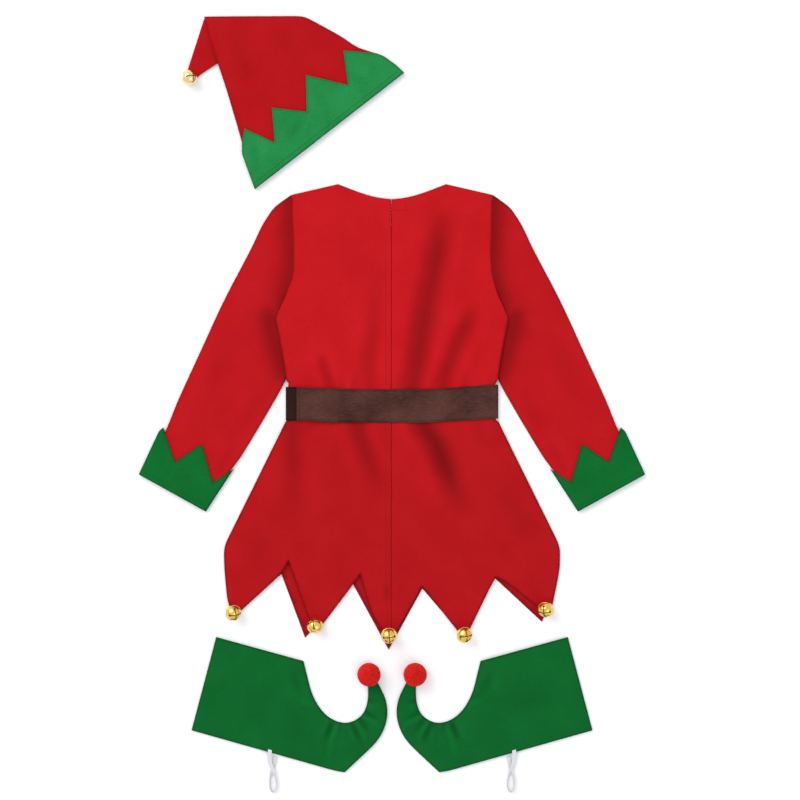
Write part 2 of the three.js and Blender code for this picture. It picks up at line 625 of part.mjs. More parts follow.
for (const [name, side] of [['left', -1], ['right', 1]]) {
  add(`shoe_${name}_under`, shoeHalf(side, false), greenFelt);
  add(`shoe_${name}_upper`, shoeHalf(side, true), greenFelt);
  add(`elastic_${name}`, elastic(side), whiteElastic);
  add(`pompom_${name}`, pompom(side), redWool);
}

// Jingle bells: a thin brass ball with crossed slots ending in holes, sewn on by its loop
const bellTable = [
  { name: 'bell_hem_1', x: -237, y: -312, tilt: 28, turn: 60 },
  { name: 'bell_hem_2', x: -115, y: -331.5, tilt: 38, turn: 200 },
  { name: 'bell_hem_3', x: -4.5, y: -346, tilt: 10, turn: 20 },
  { name: 'bell_hem_4', x: 108.6, y: -345, tilt: 16, turn: 75 },
  { name: 'bell_hem_5', x: 230, y: -307, tilt: 30, turn: 320 },
  { name: 'bell_hat', x: -303, y: 487.5, tilt: 40, turn: 110 },
];
const SLOT_LENGTH = 1.72 * BELL_RADIUS;
const SLOT_TURN = 0.11;
const LOOP_DROP = 1.1;

function bellShell() {
  const arc = (radius, from, to, count) => steps(from, to, count).map((angle) => new THREE.Vector2(
    Math.max(0, radius * Math.sin(THREE.MathUtils.degToRad(angle))),
    radius * Math.cos(THREE.MathUtils.degToRad(angle)),
  ));
  const ball = (radius, count) =>
    toSolid(new THREE.LatheGeometry(arc(radius, 180, 0, count), 12).rotateX(Math.PI / 2));
  const outside = ball(BELL_RADIUS, 8);
  const inside = ball(BELL_RADIUS - BELL_WALL, 6);
  let shell = outside.subtract(inside);
  for (const turn of [0, Math.PI / 2]) {
    const slot = new THREE.BoxGeometry(BELL_SLOT_WIDTH, SLOT_LENGTH, BELL_RADIUS);
    slot.translate(0, 0, BELL_RADIUS);
    slot.rotateZ(turn + SLOT_TURN);
    shell = shell.subtract(toSolid(slot));
  }
  const loop = new THREE.TorusGeometry(BELL_LOOP_RADIUS, BELL_LOOP_WIRE, 4, 8);
  loop.rotateX(Math.PI / 2);
  loop.translate(0, 0, -BELL_RADIUS - LOOP_DROP);
  return shell.add(toSolid(loop));
}

const bell = bellShell();
for (const row of bellTable) {
  const tilt = THREE.MathUtils.degToRad(row.tilt);
  const turn = THREE.MathUtils.degToRad(row.turn);
  const lean = new THREE.Quaternion().setFromAxisAngle(
    new THREE.Vector3(Math.cos(turn), Math.sin(turn), 0), tilt);
  const geometry = toGeometry(bell);
  geometry.applyQuaternion(lean);
  geometry.computeBoundingBox();
  const lift = 2 * PLY - geometry.boundingBox.min.z;
  geometry.translate(row.x, row.y, lift);
  const mesh = new THREE.Mesh(geometry, brass);
  mesh.name = row.name;
  costume.add(mesh);
}

export default costume;
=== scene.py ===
# A child's elf costume laid flat with its back up: felt tunic, belt, hat and two shoe covers.
# Sizes in the tables are millimetres; meshes are made in metres.
import math
import random

import bmesh
import bpy
import numpy as np
from mathutils import Matrix, Vector
from mathutils.bvhtree import BVHTree
from mathutils.geometry import delaunay_2d_cdt


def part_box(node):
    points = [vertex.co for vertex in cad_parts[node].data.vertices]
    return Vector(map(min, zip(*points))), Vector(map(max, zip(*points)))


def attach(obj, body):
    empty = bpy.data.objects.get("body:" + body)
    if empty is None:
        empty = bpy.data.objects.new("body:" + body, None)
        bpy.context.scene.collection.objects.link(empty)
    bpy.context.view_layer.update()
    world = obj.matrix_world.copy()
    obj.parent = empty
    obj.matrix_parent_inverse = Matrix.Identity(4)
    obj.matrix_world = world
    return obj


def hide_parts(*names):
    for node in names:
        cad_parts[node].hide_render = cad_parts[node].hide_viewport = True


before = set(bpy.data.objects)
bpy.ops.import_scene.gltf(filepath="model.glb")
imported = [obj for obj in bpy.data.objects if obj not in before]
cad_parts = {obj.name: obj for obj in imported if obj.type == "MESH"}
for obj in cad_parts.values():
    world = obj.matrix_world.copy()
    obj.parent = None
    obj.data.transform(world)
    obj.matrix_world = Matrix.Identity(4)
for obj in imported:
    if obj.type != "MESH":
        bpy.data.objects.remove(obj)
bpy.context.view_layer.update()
bpy.ops.object.select_all(action="DESELECT")

MM = 0.001
CLOTH = 1.5
SEAM_GAP = 0.3
BELT_THICKNESS = 1.8
BELT_MIDDLE_Y = -3.0
SEAM_X = -0.75
SPACING = 3.6
CORNER_DEGREES = 35
SKIRT_CORNER_DEGREES = 22
SHORTEST_EDGE = 0.5
SPUR_DEGREES = 168
UP = Vector((0, 0, 1))


# Camera: straight above the middle of the costume
VIEW_WIDTH = 1200
VIEW_CENTRE = (12, 6)
CAMERA_LENS = 100
CAMERA_SENSOR = 36
VIEW_PLANE = 5


def make_camera():
    data = bpy.data.cameras.new("camera")
    data.lens = CAMERA_LENS
    data.sensor_width = CAMERA_SENSOR
    camera = bpy.data.objects.new("camera", data)
    height = VIEW_WIDTH * CAMERA_LENS / CAMERA_SENSOR + VIEW_PLANE
    camera.location = (VIEW_CENTRE[0] * MM, VIEW_CENTRE[1] * MM, height * MM)
    bpy.context.scene.collection.objects.link(camera)
    bpy.context.scene.camera = camera


make_camera()


# Materials
def linear(code):
    """An sRGB hex value as the linear colour that a shader takes."""
    channels = [int(code[i:i + 2], 16) / 255 for i in (1, 3, 5)]
    return [c / 12.92 if c <= 0.04045 else ((c + 0.055) / 1.055) ** 2.4 for c in channels] + [1]


def add(tree, kind, sockets=None, **settings):
    """One shader node with its settings, its socket values and its links."""
    node = tree.nodes.new("ShaderNode" + kind)
    for key, value in settings.items():
        setattr(node, key, value)
    for socket, value in (sockets or {}).items():
        if isinstance(value, bpy.types.NodeSocket):
            tree.links.new(value, node.inputs[socket])
        else:
            node.inputs[socket].default_value = value
    return node


def new_material(name):
    material = bpy.data.materials.new(name)
    material.use_nodes = True
    material.node_tree.nodes.clear()
    return material, material.node_tree


# Mix node sockets for colours
FACTOR, COLOUR_A, COLOUR_B, MIXED = 0, 6, 7, 2


def brushed_felt(name, colour, deep, pale, sheen=0.25, streak=1.0, fibre_mm=2.2, mottle_mm=46):
    """Polyester felt with a brushed face. Its short nap gives a matt, faintly clouded colour that
    pales where the nap stands up. Painted shade, a value on each corner of the piece, mixes it towards
    the deep colour in the troughs of folds, along cut edges and over parts that lie in shade."""
    material, tree = new_material(name)
    place = add(tree, "TexCoord").outputs["Object"]
    lie = add(tree, "Mapping", {"Vector": place, "Scale": (1.0, streak, 1.0)}).outputs[0]
    cloud = add(tree, "TexNoise", {"Vector": place, "Scale": 1000 / mottle_mm, "Detail": 3.0})
    nap = add(tree, "TexNoise", {
        "Vector": lie, "Scale": 1000 / fibre_mm, "Detail": 4.0, "Roughness": 0.65, "Distortion": 0.6})
    cloud_ramp = add(tree, "MapRange", {0: cloud.outputs[0], 1: 0.32, 2: 0.68, 3: 0.0, 4: 1.0})
    nap_ramp = add(tree, "MapRange", {0: nap.outputs[0], 1: 0.3, 2: 0.7, 3: 0.0, 4: 1.0})
    share = add(tree, "Math", {0: cloud_ramp.outputs[0], 1: 0.45}, operation="MULTIPLY")
    share = add(tree, "Math", {0: nap_ramp.outputs[0], 1: 0.55, 2: share.outputs[0]},
                operation="MULTIPLY_ADD")
    ground = add(tree, "Mix", {FACTOR: share.outputs[0], COLOUR_A: linear(colour), COLOUR_B: linear(pale)},
                 data_type="RGBA")
    # Painted shade: the per-corner value darkens the colour towards the deep colour
    painted_shade = add(tree, "Attribute", attribute_name="painted_shade")
    shaded = add(tree, "Mix", {
        FACTOR: painted_shade.outputs["Fac"], COLOUR_A: ground.outputs[MIXED], COLOUR_B: linear(deep)},
        data_type="RGBA")
    relief = add(tree, "Bump", {"Height": nap.outputs[0], "Strength": 0.35, "Distance": 0.0006})
    felt = add(tree, "BsdfPrincipled", {
        "Base Color": shaded.outputs[MIXED], "Normal": relief.outputs[0], "Roughness": 0.92,
        "Specular IOR Level": 0.12, "Sheen Weight": sheen, "Sheen Roughness": 0.45,
        "Sheen Tint": linear(pale)})
    add(tree, "OutputMaterial", {"Surface": felt.outputs[0]})
    return material


def woven_tape(name, colour, pale, rib_mm=1.1):
    """Braided elastic tape. Its crosswise ribs and white rubber core give a soft grey ladder."""
    material, tree = new_material(name)
    place = add(tree, "TexCoord").outputs["UV"]
    ribs = add(tree, "TexWave", {"Vector": place, "Scale": 1000 / rib_mm * math.tau / 20},
               bands_direction="X")
    ground = add(tree, "Mix", {FACTOR: ribs.outputs[1], COLOUR_A: linear(colour), COLOUR_B: linear(pale)},
                 data_type="RGBA")
    relief = add(tree, "Bump", {"Height": ribs.outputs[1], "Strength": 0.6, "Distance": 0.0004})
    tape = add(tree, "BsdfPrincipled", {
        "Base Color": ground.outputs[MIXED], "Normal": relief.outputs[0], "Roughness": 0.6})
    add(tree, "OutputMaterial", {"Surface": tape.outputs[0]})
    return material


def dyed_yarn(name, colour, deep, sheen=0.3, fibre_mm=0.9):
    """Spun yarn or thread. Loose fibres scatter light, so it looks soft and a little uneven."""
    material, tree = new_material(name)
    place = add(tree, "TexCoord").outputs["Object"]
    fibre = add(tree, "TexNoise", {"Vector": place, "Scale": 1000 / fibre_mm, "Detail": 2.0})
    ground = add(tree, "Mix", {FACTOR: fibre.outputs[0], COLOUR_A: linear(deep), COLOUR_B: linear(colour)},
                 data_type="RGBA")
    yarn = add(tree, "BsdfPrincipled", {
        "Base Color": ground.outputs[MIXED], "Roughness": 0.85, "Specular IOR Level": 0.2,
        "Sheen Weight": sheen})
    add(tree, "OutputMaterial", {"Surface": yarn.outputs[0]})
    return material


def plated_brass(name, colour, deep, roughness=0.16, spot_mm=7.0):
    """Thin brass plate over pressed steel. Bright and yellow, with slight handling blur in patches."""
    material, tree = new_material(name)
    place = add(tree, "TexCoord").outputs["Object"]
    spots = add(tree, "TexNoise", {"Vector": place, "Scale": 1000 / spot_mm, "Detail": 3.0})
    ground = add(tree, "Mix", {FACTOR: spots.outputs[0], COLOUR_A: linear(deep), COLOUR_B: linear(colour)},
                 data_type="RGBA")
    blur = add(tree, "MapRange", {
        0: spots.outputs[0], 1: 0.3, 2: 0.7, 3: roughness * 0.7, 4: roughness * 1.5})
    plate = add(tree, "BsdfPrincipled", {
        "Base Color": ground.outputs[MIXED], "Roughness": blur.outputs[0], "Metallic": 1.0})
    add(tree, "OutputMaterial", {"Surface": plate.outputs[0]})
    return material


RED = brushed_felt("red_brushed_felt", "#b00b12", "#5e0204", "#be151c", sheen=0.06)
HAT_RED = brushed_felt("red_hat_felt", "#a0070d", "#5e0305", "#ae1017", sheen=0.06)
GREEN = brushed_felt("green_brushed_felt", "#025a20", "#012e12", "#08692b", sheen=0.03)
BAND_GREEN = brushed_felt("green_band_felt", "#147436", "#0c5628", "#288c4b", sheen=0.06)
BROWN = brushed_felt("brown_belt_felt", "#26100d", "#130706", "#5e3a33", sheen=0.06, streak=9.0,
                     fibre_mm=9.0)
WOOL = dyed_yarn("red_acrylic_yarn", "#fc3426", "#d61a10", sheen=0.04)
RED_THREAD = dyed_yarn("red_polyester_thread", "#98060c", "#6e0408", sheen=0.02)
GREEN_THREAD = dyed_yarn("green_polyester_thread", "#0c5a2c", "#063c1b", sheen=0.02)
BROWN_THREAD = dyed_yarn("brown_polyester_thread", "#2c1613", "#1c0d0b", sheen=0.02)
TAPE = woven_tape("white_elastic_tape", "#b9babf", "#eeeef0")
BRASS = plated_brass("brass_plate", "#f6d67e", "#e0b452", roughness=0.2)
PALE_BRASS = plated_brass("pale_brass_plate", "#fae8b8", "#ecd08c", roughness=0.12)


# Cloth heights: a smooth field over the upper skins of CAD nodes
FIELD_STEP = 4.0
FIELD_BLUR = 7.0
FIELD_MARGIN = 12
# Metres: rays start this far above or below the floor, clear of everything
ABOVE_ALL = 0.2


def merged(node):
    mesh = bmesh.new()
    mesh.from_mesh(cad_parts[node].data)
    bmesh.ops.remove_doubles(mesh, verts=mesh.verts, dist=2e-6)
    return mesh


def blurred(values):
    """Values smoothed along both axes, with the empty cells left out of each mean."""
    reach = int(3 * FIELD_BLUR / FIELD_STEP)
    kernel = np.exp(-0.5 * (np.arange(-reach, reach + 1) * FIELD_STEP / FIELD_BLUR) ** 2)
    known = np.isfinite(values)
    total = np.where(known, values, 0.0)
    weight = known.astype(float)
    for axis in (0, 1):
        total = np.apply_along_axis(np.convolve, axis, total, kernel, "same")
        weight = np.apply_along_axis(np.convolve, axis, weight, kernel, "same")
    with np.errstate(invalid="ignore", divide="ignore"):
        return np.where(weight > 1e-6, total / weight, np.nan)


def height_of(*nodes, below=False):
    """A function that gives the smoothed height in millimetres of these nodes' upper or lower skin."""
    low = np.min([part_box(n)[0][:2] for n in nodes], axis=0) / MM - FIELD_MARGIN
    high = np.max([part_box(n)[1][:2] for n in nodes], axis=0) / MM + FIELD_MARGIN
    xs = np.arange(low[0], high[0] + FIELD_STEP, FIELD_STEP)
    ys = np.arange(low[1], high[1] + FIELD_STEP, FIELD_STEP)
    trees = []
    for node in nodes:
        mesh = merged(node)
        trees.append(BVHTree.FromBMesh(mesh))
        mesh.free()
    grid = np.full((len(xs), len(ys)), np.nan)
    for i, x in enumerate(xs):
        for j, y in enumerate(ys):
            for tree in trees:
                start = Vector((x * MM, y * MM, -ABOVE_ALL if below else ABOVE_ALL))
                hit = tree.ray_cast(start, UP if below else -UP)[0]
                if hit is not None:
                    grid[i, j] = np.nanmax([grid[i, j], hit.z / MM])
    smooth = blurred(grid)
    while not np.isfinite(smooth).all():
        smooth = np.where(np.isfinite(smooth), smooth, blurred(smooth))

    def height(points):
        u = np.clip((points[:, 0] - xs[0]) / FIELD_STEP, 0, len(xs) - 1.001)
        v = np.clip((points[:, 1] - ys[0]) / FIELD_STEP, 0, len(ys) - 1.001)
        i, j = u.astype(int), v.astype(int)
        a, b = u - i, v - j
        return ((smooth[i, j] * (1 - a) + smooth[i + 1, j] * a) * (1 - b)
                + (smooth[i, j + 1] * (1 - a) + smooth[i + 1, j + 1] * a) * b)

    return height


# Outlines: the edge in plan of a CAD node, split at its corners and made even
STRAIGHT_WITHIN = 0.12
SLIVER = 0.05
FAR = 1e9


def distances(points, spot):
    """Distance in plan of each point from a spot, or from the spot of its own row."""
    return np.hypot(*(points - spot).T)


def outline_of(node):
    """The edge in plan of everything that a node covers, anticlockwise."""
    mesh = merged(node)
    tree = BVHTree.FromBMesh(mesh)
    points = [Vector(v.co[:2]) / MM for v in mesh.verts]
    borders = [tuple(v.index for v in edge.verts) for edge in mesh.edges]
    mesh.free()
    plan, _, faces, *_ = delaunay_2d_cdt(points, borders, [], 0, 1e-3, True)
    covered = []
    for face in faces:
        a, b, c = (plan[i] for i in face)
        middle = (a + b + c) / 3 * MM
        hit = tree.ray_cast(Vector((*middle, ABOVE_ALL)), -UP)[0]
        if abs((b - a).cross(c - a)) > SLIVER and hit is not None:
            covered.append(face)
    after = {}
    for a, b in border_of(covered):
        after.setdefault(a, []).append(b)
    best, longest_run = None, 0.0
    while after:
        here, chain = next(iter(after)), []
        while here in after:
            chain.append(here)
            here = after[here].pop()
            if not after[chain[-1]]:
                del after[chain[-1]]
        line = np.array([plan[i][:] for i in chain])
        length = np.linalg.norm(np.diff(line, axis=0), axis=1).sum()
        if length > longest_run:
            best, longest_run = line, length
    best = best if twice_area(best) > 0 else best[::-1]
    start = int(np.argmax(best[:, 0] + best[:, 1]))
    ring = np.roll(best, -start, axis=0)
    return straightened(np.vstack([ring, ring[:1]]))[:-1]


def twice_area(ring):
    x, y = ring.T
    return float((x * np.roll(y, -1) - y * np.roll(x, -1)).sum())


def straightened(line):
    """The line without the points that lie within a small distance of a straight run."""
    if len(line) < 3:
        return line
    way = line[-1] - line[0]
    if np.hypot(*way) < 1e-6:
        off = distances(line, line[0])
    else:
        off = np.abs((line - line[0]) @ np.array([-way[1], way[0]])) / np.hypot(*way)
    far = int(np.argmax(off))
    if off[far] < STRAIGHT_WITHIN:
        return line[[0, -1]]
    return np.vstack([straightened(line[:far + 1])[:-1], straightened(line[far:])])


def lengths_along(line):
    """How far along a line each of its points is."""
    return np.concatenate([[0], np.cumsum(np.linalg.norm(np.diff(line, axis=0), axis=1))])


def even(line, step):
    """The same line with points one step apart, its ends kept."""
    line = np.asarray(line, float)
    lengths = lengths_along(line)
    count = max(1, round(lengths[-1] / step))
    at = np.linspace(0, lengths[-1], count + 1)
    return np.column_stack([np.interp(at, lengths, line[:, k]) for k in (0, 1)])


def relaxed(line, rounds):
    """The line with its small kinks eased and its ends kept."""
    line = line.copy()
    for _ in range(rounds):
        line[1:-1] = (line[:-2] + 2 * line[1:-1] + line[2:]) / 4
    return line


def turns_of(outline):
    """How far the outline turns at each of its points, in degrees."""
    before = outline - np.roll(outline, 1, axis=0)
    after = np.roll(outline, -1, axis=0) - outline
    return np.degrees(np.abs(np.angle(
        (after[:, 0] + 1j * after[:, 1]) / (before[:, 0] + 1j * before[:, 1]))))


def without_spurs(outline):
    """The outline without very short edges and without places where it doubles back on itself."""
    while True:
        outline = outline[distances(outline, np.roll(outline, 1, axis=0)) > SHORTEST_EDGE]
        spurs = np.flatnonzero(turns_of(outline) > SPUR_DEGREES)
        if not len(spurs):
            return outline
        outline = np.delete(outline, spurs[0], axis=0)


def runs_of(outline, step=SPACING, rounds=8, corner=CORNER_DEGREES):
    """The outline as even, eased lines from corner to corner."""
    outline = without_spurs(outline)
    corners = np.flatnonzero(turns_of(outline) > corner)
    lines = []
    for a, b in zip(corners, np.roll(corners, -1)):
        span = np.arange(a, b + 1 if b > a else b + 1 + len(outline)) % len(outline)
        lines.append(relaxed(even(outline[span], step), rounds))
    return lines


def off_stretch(points, a, b):
    """Distance of each point from the stretch from a to b, and how far along it from 0 to 1."""
    way = b - a
    share = np.clip(((points - a) @ way) / (way @ way), 0, 1)
    return distances(points - a, share[:, None] * way), share


def away_from(points, lines):
    """Distance of each point from the nearest of these lines."""
    nearest = np.full(len(points), FAR)
    for line in lines:
        for a, b in zip(line[:-1], line[1:]):
            nearest = np.minimum(nearest, off_stretch(points, a, b)[0])
    return nearest


def inside(points, outline):
    """Which points lie inside a closed outline."""
    x, y = points.T
    found = np.zeros(len(points), bool)
    for (x1, y1), (x2, y2) in zip(outline, np.roll(outline, -1, axis=0)):
        if y1 != y2:
            found ^= ((y1 > y) != (y2 > y)) & (x < (x2 - x1) * (y - y1) / (y2 - y1) + x1)
    return found


# Relief: soft creases
def smoothstep(low, high, value):
    t = np.clip((value - low) / (high - low), 0, 1)
    return t * t * (3 - 2 * t)


def rounded(distance, radius):
    """A quarter round: 0 at no distance and 1 from the radius on."""
    return np.sqrt(1 - (1 - np.clip(distance / radius, 0, 1)) ** 2)


def fading(distance, reach):
    """1 at no distance, and nearly nothing at twice the reach."""
    return np.exp(-(distance / reach) ** 2)


def level_at(height):
    """The face of a layer that lies flat at one height."""
    return lambda points: np.full(len(points), height)


def along_path(points, path):
    """Distance from a path, and how far along it from 0 to 1."""
    path = np.asarray(path, float)
    so_far = lengths_along(path)
    nearest = np.full(len(points), FAR)
    share = np.zeros(len(points))
    for a, b, start, end in zip(path, path[1:], so_far, so_far[1:]):
        distance, along = off_stretch(points, a, b)
        closer = distance < nearest
        nearest = np.where(closer, distance, nearest)
        share = np.where(closer, (start + along * (end - start)) / so_far[-1], share)
    return nearest, share


SHOULDER_LIFT = 0.28


def crease(path, wide, deep, start=0.3, end=0.3):
    """One soft fold: its route, its reach to each side, its depth, and how long its two ends fade, as
    shares of the route."""
    return {"path": path, "wide": wide, "deep": deep, "start": start, "end": end}


def creases(points, table):
    """Height of a table of creases: troughs where deep is positive, ridges where it is negative."""
    height = np.zeros(len(points))
    for row in table:
        distance, share = along_path(points, curved(row["path"]))
        taper = smoothstep(-0.02, row["start"], share) * smoothstep(-0.02, row["end"], 1 - share)
        across = distance / row["wide"]
        profile = fading(across, 1.0) - SHOULDER_LIFT * fading(across - 2.0, 0.9)
        height -= row["deep"] * profile * taper
    return height


def curved(path, count=12):
    """A smooth line through the points of a path."""
    path = np.asarray(path, float)
    if len(path) < 3:
        return path
    padded = np.vstack([2 * path[0] - path[1], path, 2 * path[-1] - path[-2]])
    out = []
    for p0, p1, p2, p3 in zip(padded, padded[1:], padded[2:], padded[3:]):
        for t in np.linspace(0, 1, count, endpoint=False):
            out.append(0.5 * (2 * p1 + (p2 - p0) * t + (2 * p0 - 5 * p1 + 4 * p2 - p3) * t ** 2
                              + (3 * p1 - p0 - 3 * p2 + p3) * t ** 3))
    return np.array(out + [path[-1]])


# Painted shade along the cut edges: its strength, and its reach in millimetres
EDGE_SHADE = 0.55
EDGE_SHADE_REACH = 1.6


def painted_shade_of(table, lines, strength=0.085, base=0.0):
    """How much painted shade these creases and cut edges give: deeper in the troughs, along the edges and by
    a base amount, and less, a painted highlight, on ridges.
    """
    def shade(points):
        edge = EDGE_SHADE * fading(away_from(points, lines), EDGE_SHADE_REACH)
        return base + edge - creases(points, table) * strength
    return shade


def ripple(points, size, seed):
    """Small uneven swells of the cloth, from -1 to 1, about one size apart."""
    draw = random.Random(seed)
    total = np.zeros(len(points))
    for _ in range(7):
        angle = draw.uniform(0, math.tau)
        wave = math.tau / (size * draw.uniform(0.8, 1.6))
        across = points @ np.array([math.cos(angle), math.sin(angle)])
        total += np.sin(across * wave + draw.uniform(0, math.tau))
    return total / 4


# Cloth pieces: even triangles inside an outline, raised to their heights and given their thickness
def rows_inside(line, distance):
    """The line moved to its left, which is inside an anticlockwise outline."""
    way = np.gradient(line, axis=0)
    way /= np.linalg.norm(way, axis=1)[:, None]
    return line + distance * np.column_stack([-way[:, 1], way[:, 0]])


ON_LINE = 1e-3
# Shares of the spacing or of the row's distance that are kept free beside edges and rows
CLEAR_OF_EDGE = 0.55
CLEAR_OF_ROWS = 0.4
CLEAR_IN_ROW = 0.9


def plan_of(lines, spacing, rows, beside):
    """Even triangles inside an outline, with closer rows at these distances beside some of its lines."""
    edge = np.vstack([line[:-1] for line in lines])
    low, high = edge.min(0), edge.max(0)
    grid = []
    for i, y in enumerate(np.arange(low[1], high[1], spacing * math.sqrt(3) / 2)):
        xs = np.arange(low[0] + (i % 2) * spacing / 2, high[0], spacing)
        grid.append(np.column_stack([xs, np.full(len(xs), y)]))
    grid = np.vstack(grid)
    grid = grid[inside(grid, edge)]
    grid = grid[away_from(grid, lines) > spacing * CLEAR_OF_EDGE]
    grid = grid[away_from(grid, beside) > rows[-1] + spacing * CLEAR_OF_ROWS]
    for distance in rows:
        near = np.vstack([rows_inside(line, distance) for line in beside])
        near = near[inside(near, edge)]
        grid = np.vstack([grid, near[away_from(near, lines) > CLEAR_IN_ROW * distance]])
    ring = list(range(len(edge)))
    borders = list(zip(ring, ring[1:] + ring[:1]))
    found = delaunay_2d_cdt([Vector(p) for p in np.vstack([edge, grid])], borders, [], 1, 1e-4, True)
    plan = np.array([v[:] for v in found[0]])
    faces = np.array([tuple(f) for f in found[2]])
    faces = faces[inside(plan[faces].mean(axis=1), edge)]
    a, b, c = (plan[faces[:, k]] for k in range(3))
    turned = (b[:, 0] - a[:, 0]) * (c[:, 1] - a[:, 1]) < (b[:, 1] - a[:, 1]) * (c[:, 0] - a[:, 0])
    faces[turned] = faces[turned][:, ::-1]
    return plan, faces.tolist()


def without_chords(plan, faces, folds):
    """The plan with each inner edge that runs from fold to fold split, so that the layers of a tube
    meet along the fold alone."""
    mesh = bmesh.new()
    verts = [mesh.verts.new((x, y, 0)) for x, y in plan]
    for face in faces:
        mesh.faces.new([verts[i] for i in face])
    on_fold = away_from(plan, folds) < ON_LINE
    mesh.verts.index_update()
    chords = [e for e in mesh.edges if len(e.link_faces) == 2 and all(on_fold[v.index] for v in e.verts)]
    bmesh.ops.subdivide_edges(mesh, edges=chords, cuts=1)
    bmesh.ops.triangulate(mesh, faces=[f for f in mesh.faces if len(f.verts) > 3])
    bmesh.ops.delete(mesh, geom=[v for v in mesh.verts if not v.link_faces], context="VERTS")
    mesh.verts.index_update()
    plan = np.array([v.co[:2] for v in mesh.verts])
    faces = [[v.index for v in (f.verts if f.normal.z > 0 else reversed(f.verts))] for f in mesh.faces]
    mesh.free()
    return plan, faces


STITCH_PITCH = 3.2
STITCH_GAP = 0.5
THREAD_RADIUS = 0.32
THREAD_SINK = 0.25
THREAD_RISE = 0.12


def stitching(name, paths, top, material, slot):
    """Machine-sewn lines: short pieces of thread, end to end on the cloth, that dip in at their ends."""
    verts, faces = [], []
    upward = np.array([0, 0, THREAD_RADIUS])
    for path in paths:
        lines = [even(part, STITCH_PITCH) for part in zip(path, path[1:])]
        for line in lines:
            high = top(line)
            for a, b, low, up in zip(line, line[1:], high, high[1:]):
                way = (b - a) / np.hypot(*(b - a))
                side = THREAD_RADIUS * np.array([-way[1], way[0], 0])
                start = len(verts)
                for share in (0.0, 0.25, 0.75, 1.0):
                    spot = a + way * STITCH_GAP / 2 + (b - a - way * STITCH_GAP) * share
                    at_end = share in (0.0, 1.0)
                    rise = -THREAD_SINK if at_end else THREAD_RISE
                    middle = np.array([*spot, low + (up - low) * share + rise])
                    ring = (side, upward, -side, -upward)
                    verts.extend([middle] if at_end else [middle + way_out for way_out in ring])
                for k in range(4):
                    n = (k + 1) % 4
                    faces.append((start, start + 1 + n, start + 1 + k))
                    faces.append((start + 1 + k, start + 1 + n, start + 5 + n, start + 5 + k))
                    faces.append((start + 9, start + 5 + k, start + 5 + n))
    dress(mesh_object(name, verts, faces, material), slot=slot)


def mesh_object(name, verts, faces, material):
    """A smooth-shaded piece from corners in millimetres."""
    mesh = bpy.data.meshes.new(name)
    mesh.from_pydata([tuple(v) for v in np.asarray(verts) * MM], [], faces)
    mesh.validate()
    mesh.materials.append(material)
    mesh.shade_smooth()
    piece = bpy.data.objects.new(name, mesh)
    bpy.context.scene.collection.objects.link(piece)
    return piece


def select_only(*pieces):
    """Selects these pieces, with the last one active."""
    bpy.ops.object.select_all(action="DESELECT")
    for piece in pieces:
        piece.select_set(True)
    bpy.context.view_layer.objects.active = pieces[-1]


def apply_modifiers(piece):
    select_only(piece)
    for modifier in list(piece.modifiers):
        bpy.ops.object.modifier_apply(modifier=modifier.name)
    piece.select_set(False)


def softly_shaded(piece, degrees=50):
    select_only(piece)
    bpy.ops.object.shade_smooth_by_angle(angle=math.radians(degrees))
    piece.select_set(False)


def add_painted_shade(piece, values):
    """Gives each corner of a piece its amount of painted shade, for the felt to read."""
    shade = piece.data.attributes.new("painted_shade", "FLOAT", "POINT")
    shade.data.foreach_set("value", np.clip(values, 0, 1).astype(np.float32).ravel())


def corners_of(piece):
    return np.array([v.co[:] for v in piece.data.vertices]) / MM


def move_corners(piece, verts):
    piece.data.vertices.foreach_set("co", (verts * MM).ravel().astype(np.float32))
    piece.data.update()


EDGE_ROWS = (0.22, 0.8)
EDGE_EASE = 0.4


def sheet(node, slot, lines, top, material, painted_shade=None, spacing=SPACING):
    """One layer of cloth inside its edge lines, with its face at the height that top gives and its
    cut edges slightly rounded. It stands for its CAD node."""
    plan, faces = plan_of(lines, spacing, EDGE_ROWS, lines)
    high = top(plan)
    ease = EDGE_EASE * (1 - rounded(away_from(plan, lines), EDGE_ROWS[-1]))
    verts = np.vstack([np.column_stack([plan, high - ease]), np.column_stack([plan, high - CLOTH + ease])])
    count = len(plan)
    below = [[i + count for i in reversed(face)] for face in faces]
    rim = [(b, a, a + count, b + count) for a, b in border_of(faces)]
    shade = painted_shade(plan) if painted_shade else np.zeros(count)
    piece = mesh_object(node + "_cloth", verts, faces + below + rim, material)
    add_painted_shade(piece, np.concatenate([shade, shade]))
    softly_shaded(piece)
    return dress(piece, node, slot=slot)


ROLL_ROWS = (0.12, 0.42, 1.0)


